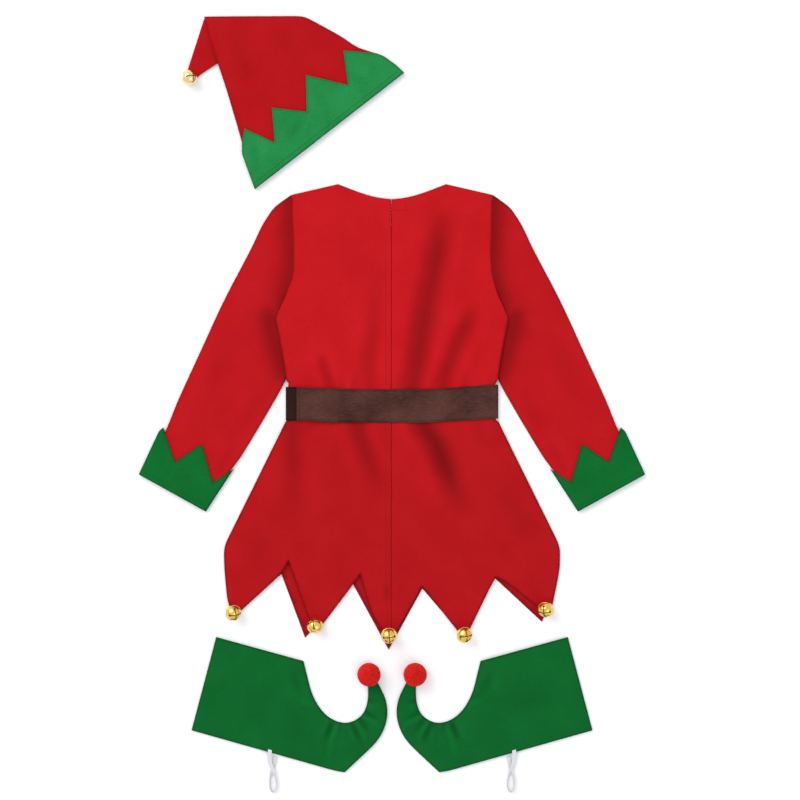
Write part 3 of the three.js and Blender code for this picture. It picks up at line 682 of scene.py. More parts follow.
def tube(node, slot, lines, folds, top, bottom, material, painted_shade=None, roll=2.2, spacing=SPACING):
    """A flattened tube: an upper and a lower layer that run into each other at the fold lines."""
    plan, faces = plan_of(lines, spacing, [share * roll for share in ROLL_ROWS], folds)
    plan, faces = without_chords(plan, faces, folds)
    distance = away_from(plan, folds)
    high, low = top(plan), bottom(plan)
    middle = (high + low) / 2
    rounding = rounded(distance, roll)
    high = middle + (high - middle) * rounding
    low = middle + (low - middle) * rounding
    on_border = np.zeros(len(plan), bool)
    on_border[np.array(border_of(faces)).ravel()] = True
    joined = on_border & (distance < ON_LINE)
    under = np.where(joined, np.arange(len(plan)), np.cumsum(~joined) - 1 + len(plan))
    verts = np.vstack([np.column_stack([plan, high]), np.column_stack([plan, low])[~joined]])
    below = [[int(under[i]) for i in reversed(face)] for face in faces]
    shade = painted_shade(plan) if painted_shade else np.zeros(len(plan))
    shade = np.concatenate([shade, shade[~joined]])
    piece = mesh_object(node + "_cloth", verts, faces + below, material)
    add_painted_shade(piece, shade)
    wall = piece.modifiers.new("thickness", "SOLIDIFY")
    wall.thickness = CLOTH * MM
    wall.offset = -1
    apply_modifiers(piece)
    from_fold = np.concatenate([distance, distance[~joined]])
    centre = np.concatenate([middle, middle[~joined]])
    round_inner_face(piece, verts, from_fold, centre, folds, roll)
    keep_inside(piece, lines)
    softly_shaded(piece)
    return dress(piece, node, slot=slot)


OUTLINE_STEP = 0.2
INNER_GAP = 0.05


def round_inner_face(piece, outer, from_fold, centre, folds, roll):
    """Along a fold the inner face of the cloth follows the outer one, so that it can't come through."""
    verts = corners_of(piece)
    count = len(outer)
    start = count if np.abs(verts[:count] - outer).max() < ON_LINE else 0
    samples = np.vstack(folds)
    normals = np.vstack([rows_inside(line, 1.0) for line in folds]) - samples
    for i in np.flatnonzero(from_fold < roll):
        nearest = distances(samples, outer[i, :2]).argmin()
        inset = CLOTH * (1 - from_fold[i] / roll)
        half = outer[i, 2] - centre[i]
        verts[start + i, :2] = outer[i, :2] + inset * normals[nearest]
        verts[start + i, 2] = centre[i] + math.copysign(max(abs(half) - CLOTH, INNER_GAP), half)
    verts[:, 2] = np.clip(verts[:, 2], outer[:, 2].min(), outer[:, 2].max())
    move_corners(piece, verts)


def keep_inside(piece, lines):
    """Sets back on the outline each corner that the cloth's thickness has pushed out past a fold."""
    outline = np.vstack([even(line, OUTLINE_STEP)[:-1] for line in lines])
    verts = corners_of(piece)
    outside = ~inside(verts[:, :2], outline) & (away_from(verts[:, :2], lines) > OUTLINE_STEP / 2)
    for i in np.flatnonzero(outside):
        verts[i, :2] = outline[distances(outline, verts[i, :2]).argmin()]
    move_corners(piece, verts)


def border_of(faces):
    """The outer edges of a plan, each turned as its own face turns."""
    edges = {}
    for face in faces:
        for a, b in zip(face, face[1:] + face[:1]):
            if (b, a) in edges:
                del edges[(b, a)]
            else:
                edges[(a, b)] = True
    return list(edges)


def dress(piece, *nodes, slot):
    """The piece stands for its CAD nodes, in the one body of the costume."""
    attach(piece, "root")
    if nodes:
        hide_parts(*nodes)
    return piece


SAME_CORNER = 1.5


def with_points(outline, table, side):
    """The outline with some of its corners moved; each row of the table is an old and a new place."""
    outline = outline.copy()
    for old, new in table:
        outline[distances(outline, (side * old[0], old[1])) < SAME_CORNER] = (side * new[0], new[1])
    return outline


# Tunic
back_level = height_of("tunic_back_left", "tunic_back_right")
front_level = height_of("tunic_front")

back_creases = [
    crease([(80, 305), (75, 267), (66, 221), (58, 180), (51, 145), (45, 109), (39, 73), (31, 30), (27, 8)],
           15, 3.9, 0.3, 0.05),
    crease([(84, 300), (72, 221), (60, 145), (49, 73), (39, 8)], 30, 2.3, 0.2, 0.05),
    crease([(129, 160), (120, 135), (105, 103), (91, 71), (78, 35), (70, 8)], 12, 4.2, end=0.05),
    crease([(134, 150), (114, 92), (94, 30), (88, 8)], 20, 1.2, end=0.05),
    crease([(-21, 270), (-20, 192), (-25, 121), (-31, 73), (-32, 30), (-32, 8)], 12, 2.8, 0.8, 0.05),
    crease([(-110, 80), (-101, 55), (-92, 26), (-88, 8)], 7, 3.2, end=0.05),
    crease([(-53, 60), (-53, 8)], 6, 1.6, 0.6, 0.05),
    crease([(-153, -15), (-149, -60), (-146, -110), (-143, -150), (-140, -200)], 14, 2.8, 0.05, 0.8),
    crease([(-56, -15), (-50, -38), (-40, -70), (-28, -100), (-18, -128), (-12, -160)], 12, 3.4, 0.05, 0.7),
    crease([(44, -15), (50, -38), (67, -64), (86, -112), (105, -152), (116, -185)], 14, 4.4, 0.05, 0.6),
    crease([(52, -15), (72, -60), (94, -110), (118, -165)], 28, 2.0, 0.05, 0.6),
    crease([(152, -110), (187, -168), (223, -212)], 18, 1.5, 0.6, 0.5),
    crease([(-204, -170), (-195, -262)], 24, 1.1, 0.6, 0.6),
    crease([(-9, -271), (-3, -298)], 6, 1.6),
    crease([(-75, 8), (-76, 48)], 5, 1.5, 0.05, 0.6),
    crease([(107, 8), (112, 60)], 7, 1.5, 0.05, 0.6),
    crease([(150, 8), (152, 56)], 6, 1.3, 0.05, 0.6),
    crease([(-106, -15), (-131, -44), (-150, -56)], 8, 1.2, 0.05, 0.6),
    crease([(30, -15), (32, -52)], 7, 1.2, 0.05, 0.6),
    crease([(124, -15), (138, -70)], 9, 1.2, 0.05, 0.6),
]
SEAM_RISE = 0.7
SEAM_DROP = 0.4


def seam_relief(points):
    """The centre back seam: its allowance lifts the left half beside it, and both sides dip to it."""
    away = np.abs(points[:, 0] - SEAM_X)
    lift = np.where(points[:, 0] < SEAM_X, SEAM_RISE, SEAM_RISE * 0.35) * fading(away - 5, 3.6)
    return (lift - SEAM_DROP * fading(away, 2.0)) * smoothstep(-318, -250, points[:, 1])


BELT_GRIP = (20, 50)


def free_of_belt(points):
    return smoothstep(*BELT_GRIP, np.abs(points[:, 1] - BELT_MIDDLE_Y))


BACK_LIFT = 3.8
BACK_LIFT_REACH = 48
SIDE_DROP = 1.3
SIDE_DROP_REACH = 3.0
HEM_SLOPE = (-312, -230)
NECK_SLOPE = (-322, -285)
CREASES_FREE = (12, 34)
# Painted shade added over the skirt below the belt
SKIRT_SHADE = 0.2


def back_top(points, edges):
    """The back lies loose on the front, lower at its edges, and pressed down by the belt."""
    aside = away_from(points, edges)
    above_hem, below_neck = smoothstep(*HEM_SLOPE, points[:, 1]), smoothstep(*NECK_SLOPE, -points[:, 1])
    loose = smoothstep(0, BACK_LIFT_REACH, aside) * above_hem * below_neck
    height = back_level(points) + BACK_LIFT * loose * free_of_belt(points)
    height += creases(points, back_creases) * smoothstep(*CREASES_FREE, np.abs(points[:, 1] - BELT_MIDDLE_Y))
    height += seam_relief(points) + 0.5 * ripple(points, 60, 3) * free_of_belt(points)
    height -= SIDE_DROP * fading(aside, SIDE_DROP_REACH)
    return np.maximum(height, front_level(points) + CLOTH + 0.2)


def back_shade(lines):
    """Painted shade for the back: in its creases and along its free edges, and a deeper amount over the skirt
    than over the bodice.
    """
    free = [line for line in lines if np.abs(line[:, 0] - SEAM_X).max() > 3 and line[:, 1].max() < 310]
    creased = painted_shade_of(back_creases, free, base=0.06)
    return lambda points: creased(points) + SKIRT_SHADE * smoothstep(-20, 30, -points[:, 1])


# The skirt widens just below the belt
waist_corners = [
    ((155.5, -29.0), (155.5, -23.6)),
    ((161.0, -31.5), (159.6, -26.4)),
]


def waisted(node, *sides):
    """The edge lines of a tunic panel."""
    outline = outline_of(node)
    for side in sides:
        outline = with_points(outline, waist_corners, side)
    return runs_of(outline, corner=SKIRT_CORNER_DEGREES)


def make_tunic():
    front_lines = waisted("tunic_front", -1, 1)
    # The front panel, seen only at the hem notches under the back, gets a base of painted shade
    front = sheet("tunic_front", "red_felt", front_lines, front_level, RED,
                  painted_shade_of([], front_lines, base=0.3), spacing=7.0)
    for side, sign, area in (("left", -1, 0.1126), ("right", 1, 0.1155)):
        node = f"tunic_back_{side}"
        lines = waisted(node, sign)
        sides = [line for line in lines if line[:, 1].mean() > -270 and np.abs(line[:, 0]).min() > 60]
        back = sheet(node, "red_felt", lines, lambda p: back_top(p, sides), RED, back_shade(lines))
        stitching(node + "_stitches", topstitches[side], lambda p: back_top(p, sides), RED_THREAD, "red_felt")


# Sewn lines of the back: beside the centre seam, and the small square that holds the neck fastening
topstitches = {
    "left": [[(-9, 246), (-9, 28)], [(-9, -30), (-9, -304)]],
    "right": [[(3, 303.5), (3, 290), (21, 290), (21, 304.5)]],
}

make_tunic()


# Sleeves and cuffs
sleeve_creases = [
    crease([(238, 110), (262, 44), (282, -8)], 16, 1.0),
    crease([(196, 20), (214, -20), (232, -56)], 10, 0.9),
    crease([(236, -60), (250, -84), (259, -104)], 6, 1.2, end=0.05),
]


def mirrored(table, side):
    return [{**row, "path": [(side * x, y) for x, y in row["path"]]} for row in table]


def cut_at(lines, spot):
    """The lines with the one nearest to this spot cut in two there."""
    spot = np.array(spot, float)
    nearest = min(range(len(lines)), key=lambda i: distances(lines[i], spot).min())
    line = lines[nearest]
    at = int(distances(line, spot).argmin())
    if at in (0, len(line) - 1):
        return lines
    return lines[:nearest] + [line[:at + 1], line[at:]] + lines[nearest + 1:]


def line_near(lines, spot):
    spot = np.array([spot], float)
    return min(lines, key=lambda line: away_from(spot, [line])[0])


def pulled(line, shift):
    """The line moved by a shift that fades out at its two ends."""
    share = np.linspace(0, 1, len(line))
    return line + np.outer(smoothstep(0, 0.06, share) * smoothstep(0, 0.06, 1 - share), shift)


# The sleeve narrows inside the cuff, and the turned-up cuff stands a little wide of it
sleeve_ends = [
    ((238.8, -98.4), (241.0, -98.4)),
    ((251.0, -115.5), (255.5, -117.0)),
    ((262.5, -133.0), (267.0, -133.0)),
]
cuff_ends = [
    ((245.3, -102.8), (237.2, -97.2)),
    ((256.8, -122.7), (252.9, -121.2)),
    ((265.4, -136.2), (263.0, -136.4)),
]
SEAM_CLOSE = 1.6
SLEEVE_LIFT = 2.6
SLEEVE_LIFT_REACH = 40
CUFF_SLOPE = (-66, -10)
SLEEVE_SHADE = 0.14
ARMHOLE_SHADE = {-1: 0.5, 1: 0.6}
ARMHOLE_REACH = 21
SIDE_SHADE = 0.5
SIDE_REACH = 18


def one_of_two(left, table, side):
    """The outline of the left-hand piece, or the same turned over for the right-hand one."""
    outline = with_points(outline_of(left), table, -1)
    return outline if side < 0 else outline[::-1] * (-1, 1)


def at_armhole(line):
    return np.abs(line[:, 0]).max() < 178 and line[:, 1].mean() > 130


def make_sleeve(name, side):
    node = f"sleeve_{name}"
    lines = cut_at(runs_of(one_of_two("sleeve_left", sleeve_ends, side)), (side * 175.4, 126))
    lines = [pulled(line, (-side * SEAM_CLOSE, 0)) if at_armhole(line) else line for line in lines]
    armholes = [line for line in lines if at_armhole(line)]
    wrist = line_near(lines, (side * 314, -111))
    folds = [line for line in lines if line is not wrist and not at_armhole(line)]
    level, low = height_of(node), height_of(node, below=True)
    rows = mirrored(sleeve_creases, side)

    def top(points):
        loose = smoothstep(*CUFF_SLOPE, points[:, 1])
        puff = SLEEVE_LIFT * smoothstep(0, SLEEVE_LIFT_REACH, away_from(points, lines))
        height = level(points) + (puff + creases(points, rows) + 0.4 * ripple(points, 55, 11 + side)) * loose
        return np.maximum(height, low(points) + 2 * CLOTH + SEAM_GAP)

    creased = painted_shade_of(rows, folds)
    beside_body = [np.array([(184, 130), (181, 105), (172, 78), (161, 48)]) * (side, 1.0)]

    def shade(points):
        """The sleeve lies lower than the body, so it is in shade beside the armhole and the side seam."""
        near_seam = ARMHOLE_SHADE[side] * fading(away_from(points, armholes), ARMHOLE_REACH)
        near_body = SIDE_SHADE * fading(away_from(points, beside_body), SIDE_REACH)
        return creased(points) + np.maximum(near_seam, near_body) + SLEEVE_SHADE

    piece = tube(node, "red_felt", lines, folds, top, low, RED, shade, roll=2.3)


def make_cuff(name, side):
    node = f"cuff_{name}"
    lines = runs_of(one_of_two("cuff_left", cuff_ends, side), step=3.0, rounds=1)
    folds = [line_near(lines, (side * 365, -73)), line_near(lines, (side * 255, -127))]
    level = height_of(node)

    def top(points):
        return level(points) + 0.35 + 0.3 * ripple(points, 40, 21 + side)

    piece = tube(node, "green_felt", lines, folds, top, level_at(0.0), GREEN, painted_shade_of([], lines),
                 roll=3.6, spacing=3.0)
    hem = [[(side * 372, -101.5), (side * 279, -153)]]
    stitching(node + "_stitches", hem, top, GREEN_THREAD, "green_felt")


for side_name, side_sign in (("left", -1), ("right", 1)):
    make_sleeve(side_name, side_sign)
    make_cuff(side_name, side_sign)


# Strips: belt and elastic, swept along their routes
STRIP_EDGE_SHADE = 0.35


def strip(name, route, sideways, columns, thickness, material, painted_shade=None):
    """A band of cloth whose middle follows a route; sideways reaches from the middle to its edge."""
    across = np.linspace(-1, 1, columns)
    verts = (route[:, None, :] + sideways[:, None, :] * across[None, :, None]).reshape(-1, 3)
    rows = len(route)
    faces = [
        (r * columns + c, (r + 1) * columns + c, (r + 1) * columns + c + 1, r * columns + c + 1)
        for r in range(rows - 1) for c in range(columns - 1)
    ]
    piece = mesh_object(name, verts, faces, material)
    lengths = lengths_along(route) * MM
    layer = piece.data.uv_layers.new(name="weave")
    for loop in piece.data.loops:
        row, column = divmod(loop.vertex_index, columns)
        layer.data[loop.index].uv = (lengths[row], across[column] * 0.5)
    if painted_shade is not None:
        edge = STRIP_EDGE_SHADE * fading(1 - np.abs(across), 0.06)
        add_painted_shade(piece, painted_shade[:, None] + edge[None, :])
    wall = piece.modifiers.new("thickness", "SOLIDIFY")
    wall.thickness = thickness * MM
    wall.offset = 0
    edge = piece.modifiers.new("cut_edge", "BEVEL")
    edge.width = 0.3 * MM
    edge.segments = 2
    edge.limit_method = "ANGLE"
    edge.angle_limit = math.radians(55)
    apply_modifiers(piece)
    return piece


BELT_LEVEL = 6.8
BELT_LAP = BELT_THICKNESS + SEAM_GAP
belt_route = [
    (-143, BELT_LEVEL + BELT_LAP), (-110, BELT_LEVEL + BELT_LAP), (-84, BELT_LEVEL + BELT_LAP),
    (-64, BELT_LEVEL),
    (40, BELT_LEVEL), (110, BELT_LEVEL), (146, BELT_LEVEL), (152.8, BELT_LEVEL), (156.8, BELT_LEVEL - 0.8),
    (158.2, 3.8), (156.8, 1.9), (152.8, 0.9), (146, 0.9), (0, 0.9), (-146, 0.9), (-152.8, 0.9), (-156.4, 1.9),
    (-157.7, 3.8), (-156.4, BELT_LEVEL - 0.8), (-152.8, BELT_LEVEL), (-146, BELT_LEVEL), (-92, BELT_LEVEL),
]
BELT_HALF = 25.2
RISE_FROM, RISE_TO = 40, 165
LAP_END_X = -138
STITCHED = (-139, 154)
BELT_SEAM = 22.4
UNDER_END_SHADE = 0.75


def belt_rise(x):
    """How far the belt drifts up towards its two ends."""
    return 6.5 * smoothstep(RISE_FROM, RISE_TO, x) + 3.4 * smoothstep(RISE_FROM, RISE_TO, -x)


def belt_face(points):
    """Height of the belt's upper face, higher where its end laps over."""
    level = np.interp(points[:, 0], (-84, -64), (BELT_LEVEL + BELT_LAP, BELT_LEVEL))
    return level + BELT_THICKNESS / 2


def make_belt():
    line = even(curved(belt_route, 16), 2.0)
    middle = BELT_MIDDLE_Y + belt_rise(line[:, 0])
    route = np.column_stack([line[:, 0], middle, line[:, 1]])
    half = BELT_HALF + 0.25 * np.sin(route[:, 0] / 17)
    sideways = np.column_stack([np.zeros(len(route)), half, np.zeros(len(route))])
    under_end = np.arange(len(route)) > 0.7 * len(route)
    shade = np.where(under_end & (route[:, 0] < LAP_END_X), UNDER_END_SHADE, 0.0)
    belt = strip("belt_strip", route, sideways, 18, BELT_THICKNESS, BROWN, shade)
    dress(belt, "belt", slot="brown_felt")
    xs = np.linspace(*STITCHED, 12)
    edges = [list(zip(xs, BELT_MIDDLE_Y + belt_rise(xs) + side * BELT_SEAM)) for side in (-1, 1)]
    across_end = [edge[0] for edge in edges]
    stitching("belt_stitches", edges + [across_end], belt_face, BROWN_THREAD, "brown_felt")


make_belt()


# Hat
hat_creases = [
    crease([(-232, 566), (-226, 520), (-214, 470)], 14, 1.2),
    crease([(-180, 566), (-150, 530), (-118, 512)], 14, 0.9),
    crease([(-277, 572), (-262, 512)], 6, -1.3),
    crease([(-243, 480), (-231, 420), (-228, 396)], 8, 1.6, end=0.1),
]
band_creases = [
    crease([(-208, 390), (-204, 366), (-199, 342)], 7, 1.5),
    crease([(-158, 392), (-146, 408), (-136, 430)], 6, 1.4),
    crease([(-70, 500), (-52, 486), (-30, 478)], 9, 0.9),
    crease([(-128, 480), (-112, 462), (-100, 440)], 8, 0.8),
]
FOLD_Y = 575.6
FOLD_EDGE_Y = 582.2
HAT_FOLD_DEPTH = 4.5
HAT_FOLD_REACH = 6.5
TIP_TOP_Y = 578.5
TIP_HEIGHT = 3.6
BAND_LIFT = 0.8


def inside_brim(lines):
    """The red cloth ends just inside the brim, so that the band alone shows there."""
    brim = line_near(lines, (-95, 411))
    return [pulled(line, (-0.85, 1.1)) if line is brim else line for line in lines]


def make_hat():
    over, under = outline_of("hat_upper"), outline_of("hat_under")
    stretched = over.copy()
    at_fold = over[:, 1] > FOLD_Y
    stretched[at_fold, 1] = np.interp(over[at_fold, 0], (-282, -129), (581.2, FOLD_EDGE_Y))
    stretched[at_fold, 0] = np.interp(over[at_fold, 0], (-282, -129), (-282, -133))
    lines = inside_brim(runs_of(stretched))
    level, band_level = height_of("hat_upper"), height_of("hat_band_upper")

    def top(points):
        rolled = rounded(FOLD_EDGE_Y - points[:, 1], HAT_FOLD_REACH)
        height = level(points) + creases(points, hat_creases) + 0.25 * ripple(points, 50, 5)
        height -= 0.9 * fading(away_from(points, [line_near(lines, (-240, 440))]), 3.0)
        return height - HAT_FOLD_DEPTH * (1 - rolled)

    upper = sheet("hat_upper", "red_felt", lines, top, HAT_RED, painted_shade_of(hat_creases, lines), spacing=3.2)
    lower = sheet("hat_under", "red_felt", inside_brim(runs_of(under)), height_of("hat_under"), HAT_RED,
                  spacing=6.0)

    tip_outline = outline_of("hat_tip")
    tip_outline[:, 1] = np.minimum(tip_outline[:, 1], TIP_TOP_Y)
    tip_lines = runs_of(tip_outline, step=3.0, rounds=2)
    tip = tube("hat_tip", "red_felt", tip_lines, tip_lines, level_at(TIP_HEIGHT), level_at(0.0), HAT_RED,
               roll=2.0, spacing=3.2)

    band_lines = runs_of(outline_of("hat_band_upper"), step=3.0, rounds=1)

    def band_top(points):
        height = band_level(points) + BAND_LIFT + creases(points, band_creases) + 0.2 * ripple(points, 45, 8)
        return np.maximum(height, top(points) + CLOTH + 0.15)

    # The band gets a base of painted shade, deeper in its creases
    band = sheet("hat_band_upper", "band_felt", band_lines, band_top, BAND_GREEN,
                 painted_shade_of(band_creases, band_lines, strength=0.14, base=0.08), spacing=3.2)
    stitching("hat_brim_stitches", [[(-208, 329.8), (7.4, 497.6)]], band_top, GREEN_THREAD, "band_felt")
    under_lines = runs_of(outline_of("hat_band_under"), step=3.0, rounds=1)
    back_band = sheet("hat_band_under", "band_felt", under_lines, level_at(CLOTH), BAND_GREEN, spacing=6.0)


make_hat()


# Shoe covers
shoe_creases = [
    crease([(-88, -478), (-96, -494), (-107, -512)], 4.6, 1.8, 0.05, 0.7),
    crease([(-84, -480), (-90, -505), (-97, -540)], 3.6, -1.2, 0.05, 0.6),
    crease([(-77, -480), (-76, -502)], 4.0, 1.0, 0.05, 0.7),
    crease([(-68, -480), (-66, -506)], 4.0, 0.9, 0.05, 0.7),
    crease([(-60, -478), (-52, -494), (-44, -516)], 4.6, 1.7, 0.05, 0.7),
    crease([(-55, -476), (-46, -492), (-36, -510)], 3.4, -1.1, 0.05, 0.6),
    crease([(-50, -472), (-40, -484), (-28, -496)], 4.2, 1.4, 0.05, 0.7),
    crease([(-44, -468), (-32, -474), (-22, -480), (-14, -490)], 3.4, -1.2, 0.05, 0.6),
    crease([(-41, -463), (-30, -468), (-17, -472)], 4.0, 1.2, 0.05, 0.7),
    crease([(-38, -452), (-28, -452), (-14, -455)], 3.6, -0.8, 0.05, 0.6),
    crease([(-37, -446), (-22, -445)], 4.0, 0.8, 0.05, 0.7),
    crease([(-152, -392), (-146, -412), (-134, -442)], 6.5, 1.0, 0.5, 0.5),
    crease([(-139, -446), (-129, -447), (-118, -450)], 3.6, -0.9, end=0.05),
    crease([(-124, -458), (-138, -486), (-156, -515)], 22, 0.7, 0.5, 0.5),
    crease([(-204, -410), (-196, -450), (-180, -490)], 26, 0.6, 0.5, 0.5),
]
SHOE_LIFT = 1.6
SHOE_ROLL = 6.0


def make_shoe(name, side):
    rows = mirrored(shoe_creases, -side)
    upper_node, under_node = f"shoe_{name}_upper", f"shoe_{name}_under"
    lines = runs_of(outline_of(upper_node), step=2.6, rounds=8)
    opening = line_near(lines, (side * 198, -368))
    seams = [line for line in lines if line is not opening]
    level = height_of(upper_node)

    def top(points):
        height = level(points) + SHOE_LIFT + creases(points, rows) + 0.3 * ripple(points, 45, 31 + side)
        edge = rounded(away_from(points, seams), SHOE_ROLL)
        rest = 2 * CLOTH + SEAM_GAP
        return rest - 0.9 * (1 - edge) + np.maximum(height - rest, 0) * edge

    # The uppers get a base of painted shade, deeper in the gathers' troughs, with a painted highlight on
    # their ridges
    upper = sheet(upper_node, "green_felt", lines, top, GREEN,
                  painted_shade_of(rows, lines, strength=0.2, base=0.16), spacing=2.5)
    under = sheet(under_node, "green_felt", runs_of(outline_of(under_node), step=3.2, rounds=6),
                  level_at(CLOTH), GREEN, spacing=6.0)


ELASTIC_WIDTH = 6
ELASTIC_THICKNESS = 1.0
# x, y and z of the loop's middle, and how far it leans on its side, in degrees
elastic_route = [
    (-183, -518, 5.4, 0), (-183.4, -526, 5.1, 0),
    (-183, -537, 4.1, 6), (-179.5, -547, 3.7, 20),
    (-175, -560, 3.4, 60), (-173, -571, 3.2, 74),
    (-174.5, -579, 3.2, 80), (-178.5, -582.5, 3.2, 84),
    (-182, -579, 3.2, 80), (-183.2, -571, 3.2, 74),
    (-182.2, -560, 3.2, 60), (-178.5, -547, 1.05, 6),
    (-176, -536, 1.2, 0), (-175.4, -529.4, 1.5, 0),
]


def make_elastic(name, side):
    smooth = curved(np.array(elastic_route) * (-side, 1, 1, 1), 6)
    route, lean = smooth[:, :3], np.radians(smooth[:, 3]) * side
    way = np.gradient(route, axis=0)
    way[:, 2] = 0
    way /= np.linalg.norm(way, axis=1)[:, None]
    flat = np.column_stack([way[:, 1], -way[:, 0], np.zeros(len(way))]) * np.cos(lean)[:, None]
    flat[:, 2] = np.sin(lean)
    tape = strip(f"elastic_{name}_tape", route, flat * ELASTIC_WIDTH / 2, 7, ELASTIC_THICKNESS, TAPE)
    dress(tape, f"elastic_{name}", slot="white_elastic")


# Pompoms: a wool ball of many trimmed yarn ends
STRANDS = 2600
STRAND_ROOT = 11.5
STRAND_TIP = 17.8
LOWEST_TIP = 3.8
CORE_RADIUS = 14.2
POMPOM_RADIUS = 17.2
POMPOM_SHIFT = 1.2
YARN_RADII = (0.75, 0.8, 0.45)


def make_pompom(name, side):
    node = f"pompom_{name}"
    low, high = (np.array(c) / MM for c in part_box(node))
    centre = np.array([(low[0] + high[0]) / 2, (low[1] + high[1]) / 2 + POMPOM_SHIFT,
                       high[2] - POMPOM_RADIUS])
    draw = random.Random(40 + side)
    verts, faces = [], []

    def ring(middle, way, radius):
        side_way = np.cross(way, (0.3, 0.2, 0.93))
        side_way /= np.linalg.norm(side_way)
        other = np.cross(way, side_way)
        start = len(verts)
        for k in range(3):
            angle = math.tau * k / 3
            verts.append(middle + radius * (math.cos(angle) * side_way + math.sin(angle) * other))
        return start

    for _ in range(STRANDS):
        way = np.array([draw.gauss(0, 1) for _ in range(3)])
        way /= np.linalg.norm(way)
        bend = np.array([draw.gauss(0, 0.09) for _ in range(3)])
        tip_way = way + bend
        tip_way /= np.linalg.norm(tip_way)
        tip = centre + tip_way * (STRAND_TIP - abs(draw.gauss(0, 0.5)))
        if tip[2] < LOWEST_TIP:
            continue
        half_way = centre + (way + 0.4 * bend) * 0.5 * (STRAND_ROOT + STRAND_TIP)
        along = ((centre + way * STRAND_ROOT, way), (half_way, way), (tip, tip_way))
        rings = [ring(middle, out, radius) for (middle, out), radius in zip(along, YARN_RADII)]
        for a, b in zip(rings, rings[1:]):
            for k in range(3):
                faces.append((a + k, a + (k + 1) % 3, b + (k + 1) % 3, b + k))
        faces.append((rings[2], rings[2] + 1, rings[2] + 2))
        faces.append((rings[0] + 2, rings[0] + 1, rings[0]))
    strands = mesh_object(node + "_yarn", verts, faces, WOOL)
    bpy.ops.object.select_all(action="DESELECT")
    bpy.ops.mesh.primitive_uv_sphere_add(
        segments=32, ring_count=20, radius=CORE_RADIUS * MM, location=centre * MM)
    core = bpy.context.object
    bpy.ops.object.transform_apply(location=True)
    core.data.materials.append(WOOL)
    select_only(core, strands)
    bpy.ops.object.join()
    strands.select_set(False)
    dress(strands, node, slot="red_wool")


for side_name, side_sign in (("left", -1), ("right", 1)):
    make_shoe(side_name, side_sign)
    make_elastic(side_name, side_sign)
    make_pompom(side_name, side_sign)


# Jingle bells
BELL_RADIUS = 11.5
RIM_RADIUS = 12.1
RIM_HALF = 0.75
PLATE = 0.7
SLOT_TURN = 0.11
SLOT_WIDTH = 1.7
SLOT_END_RADIUS = 1.9
LOOP_RADIUS = 2.6
LOOP_WIRE = 0.85
bells = [
    {"node": "bell_hem_1", "x": -237, "y": -312, "tilt": 28, "turn": 60, "finish": BRASS},
    {"node": "bell_hem_2", "x": -115, "y": -331.5, "tilt": 38, "turn": 200, "finish": BRASS},
    {"node": "bell_hem_3", "x": -4.5, "y": -346, "tilt": 10, "turn": 20, "finish": BRASS},
    {"node": "bell_hem_4", "x": 108.6, "y": -345, "tilt": 16, "turn": 75, "finish": BRASS},
    {"node": "bell_hem_5", "x": 230, "y": -307, "tilt": 30, "turn": 320, "finish": BRASS},
    {"node": "bell_hat", "x": -303, "y": 487.5, "tilt": 40, "turn": 110, "finish": PALE_BRASS},
]


def cut_away(piece, cutter):
    cut = piece.modifiers.new("cut", "BOOLEAN")
    cut.object = cutter
    cut.operation = "DIFFERENCE"
    cut.solver = "EXACT"
    apply_modifiers(piece)
    bpy.data.objects.remove(cutter)


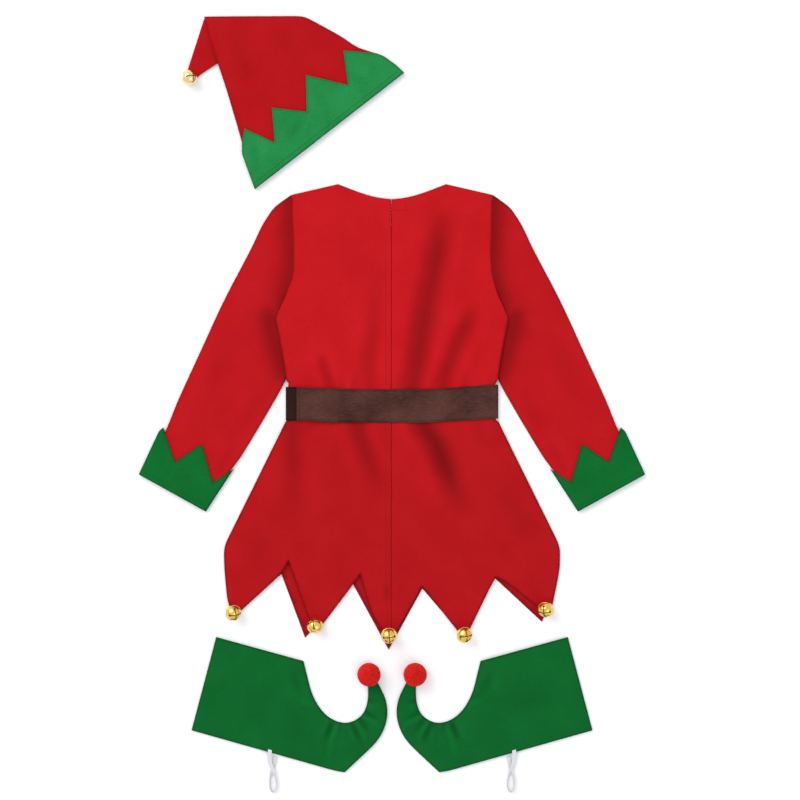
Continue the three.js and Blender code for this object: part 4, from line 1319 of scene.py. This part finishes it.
def bell_pattern():
    """One bell with its mouth up: a pressed shell with crossed slots, its crimped rim and its loop."""
    bpy.ops.object.select_all(action="DESELECT")
    bpy.ops.mesh.primitive_uv_sphere_add(segments=40, ring_count=22, radius=BELL_RADIUS * MM)
    shell = bpy.context.object
    wall = shell.modifiers.new("plate", "SOLIDIFY")
    wall.thickness = PLATE * MM
    wall.offset = -1
    apply_modifiers(shell)
    for turn in (SLOT_TURN, SLOT_TURN + math.pi / 2):
        way = Vector((math.cos(turn), math.sin(turn), 0))
        bpy.ops.mesh.primitive_cube_add(
            size=1, location=(0, 0, BELL_RADIUS * MM), rotation=(0, 0, turn),
            scale=(BELL_RADIUS * 1.62 * MM, SLOT_WIDTH * MM, BELL_RADIUS * 1.1 * MM))
        cut_away(shell, bpy.context.object)
        for end in (-1, 1):
            bpy.ops.mesh.primitive_cylinder_add(
                vertices=20, radius=SLOT_END_RADIUS * MM, depth=9 * MM,
                location=(way * end * 0.78 + UP * 0.68) * BELL_RADIUS * MM,
                rotation=(0, math.radians(48) * end, turn))
            cut_away(shell, bpy.context.object)
    bpy.ops.mesh.primitive_torus_add(
        major_segments=56, minor_segments=10, major_radius=(RIM_RADIUS - RIM_HALF) * MM,
        minor_radius=RIM_HALF * MM)
    rim = bpy.context.object
    bpy.ops.mesh.primitive_torus_add(
        major_segments=24, minor_segments=8, major_radius=LOOP_RADIUS * MM, minor_radius=LOOP_WIRE * MM,
        location=(0, 0, -(BELL_RADIUS + 1.4) * MM), rotation=(math.pi / 2, 0, 0))
    loop = bpy.context.object
    select_only(rim, loop, shell)
    bpy.ops.object.transform_apply(location=True, rotation=True, scale=True)
    bpy.ops.object.join()
    bpy.ops.object.shade_smooth_by_angle(angle=math.radians(40))
    shell.select_set(False)
    return shell


def make_bells():
    pattern = bell_pattern()
    for row in bells:
        turn = math.radians(row["turn"])
        lean = Matrix.Rotation(math.radians(row["tilt"]), 4, Vector((math.cos(turn), math.sin(turn), 0)))
        mesh = pattern.data.copy()
        mesh.transform(lean)
        lowest = min(v.co.z for v in mesh.vertices)
        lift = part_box(row["node"])[0].z - lowest
        mesh.transform(Matrix.Translation((row["x"] * MM, row["y"] * MM, lift)))
        mesh.materials.clear()
        mesh.materials.append(row["finish"])
        bell = bpy.data.objects.new(row["node"] + "_shell", mesh)
        bpy.context.scene.collection.objects.link(bell)
        dress(bell, row["node"], slot="brass")
    bpy.data.objects.remove(pattern)


make_bells()


# Floor, light and surroundings
def make_surroundings():
    bpy.ops.mesh.primitive_plane_add(size=8, location=(0, 0, -0.0004))
    floor = bpy.context.object
    floor.name = "floor"
    material, tree = new_material("white_paper_floor")
    paper = add(tree, "BsdfPrincipled", {"Base Color": linear("#f8f8f8"), "Roughness": 0.9})
    add(tree, "OutputMaterial", {"Surface": paper.outputs[0]})
    floor.data.materials.append(material)
    world = bpy.data.worlds.new("studio")
    world.use_nodes = True
    background = world.node_tree.nodes["Background"]
    background.inputs[0].default_value = linear("#fafbff")
    background.inputs[1].default_value = 0.92
    bpy.context.scene.world = world
    lamps = [
        {"name": "key", "place": (-4.4, 4.2, 5.4), "aim": (0, 0, 0), "size": 7.0, "power": 310},
        {"name": "fill", "place": (3.2, -2.6, 6.0), "aim": (0, 0, 0), "size": 5.0, "power": 60},
    ]
    for row in lamps:
        data = bpy.data.lights.new(row["name"], "AREA")
        data.shape = "DISK"
        data.size = row["size"]
        data.energy = row["power"]
        lamp = bpy.data.objects.new(row["name"], data)
        lamp.location = row["place"]
        lamp.rotation_euler = (Vector(row["aim"]) - Vector(row["place"])).to_track_quat("-Z", "Y").to_euler()
        bpy.context.scene.collection.objects.link(lamp)
    bpy.context.scene.view_settings.view_transform = "Standard"


make_surroundings()
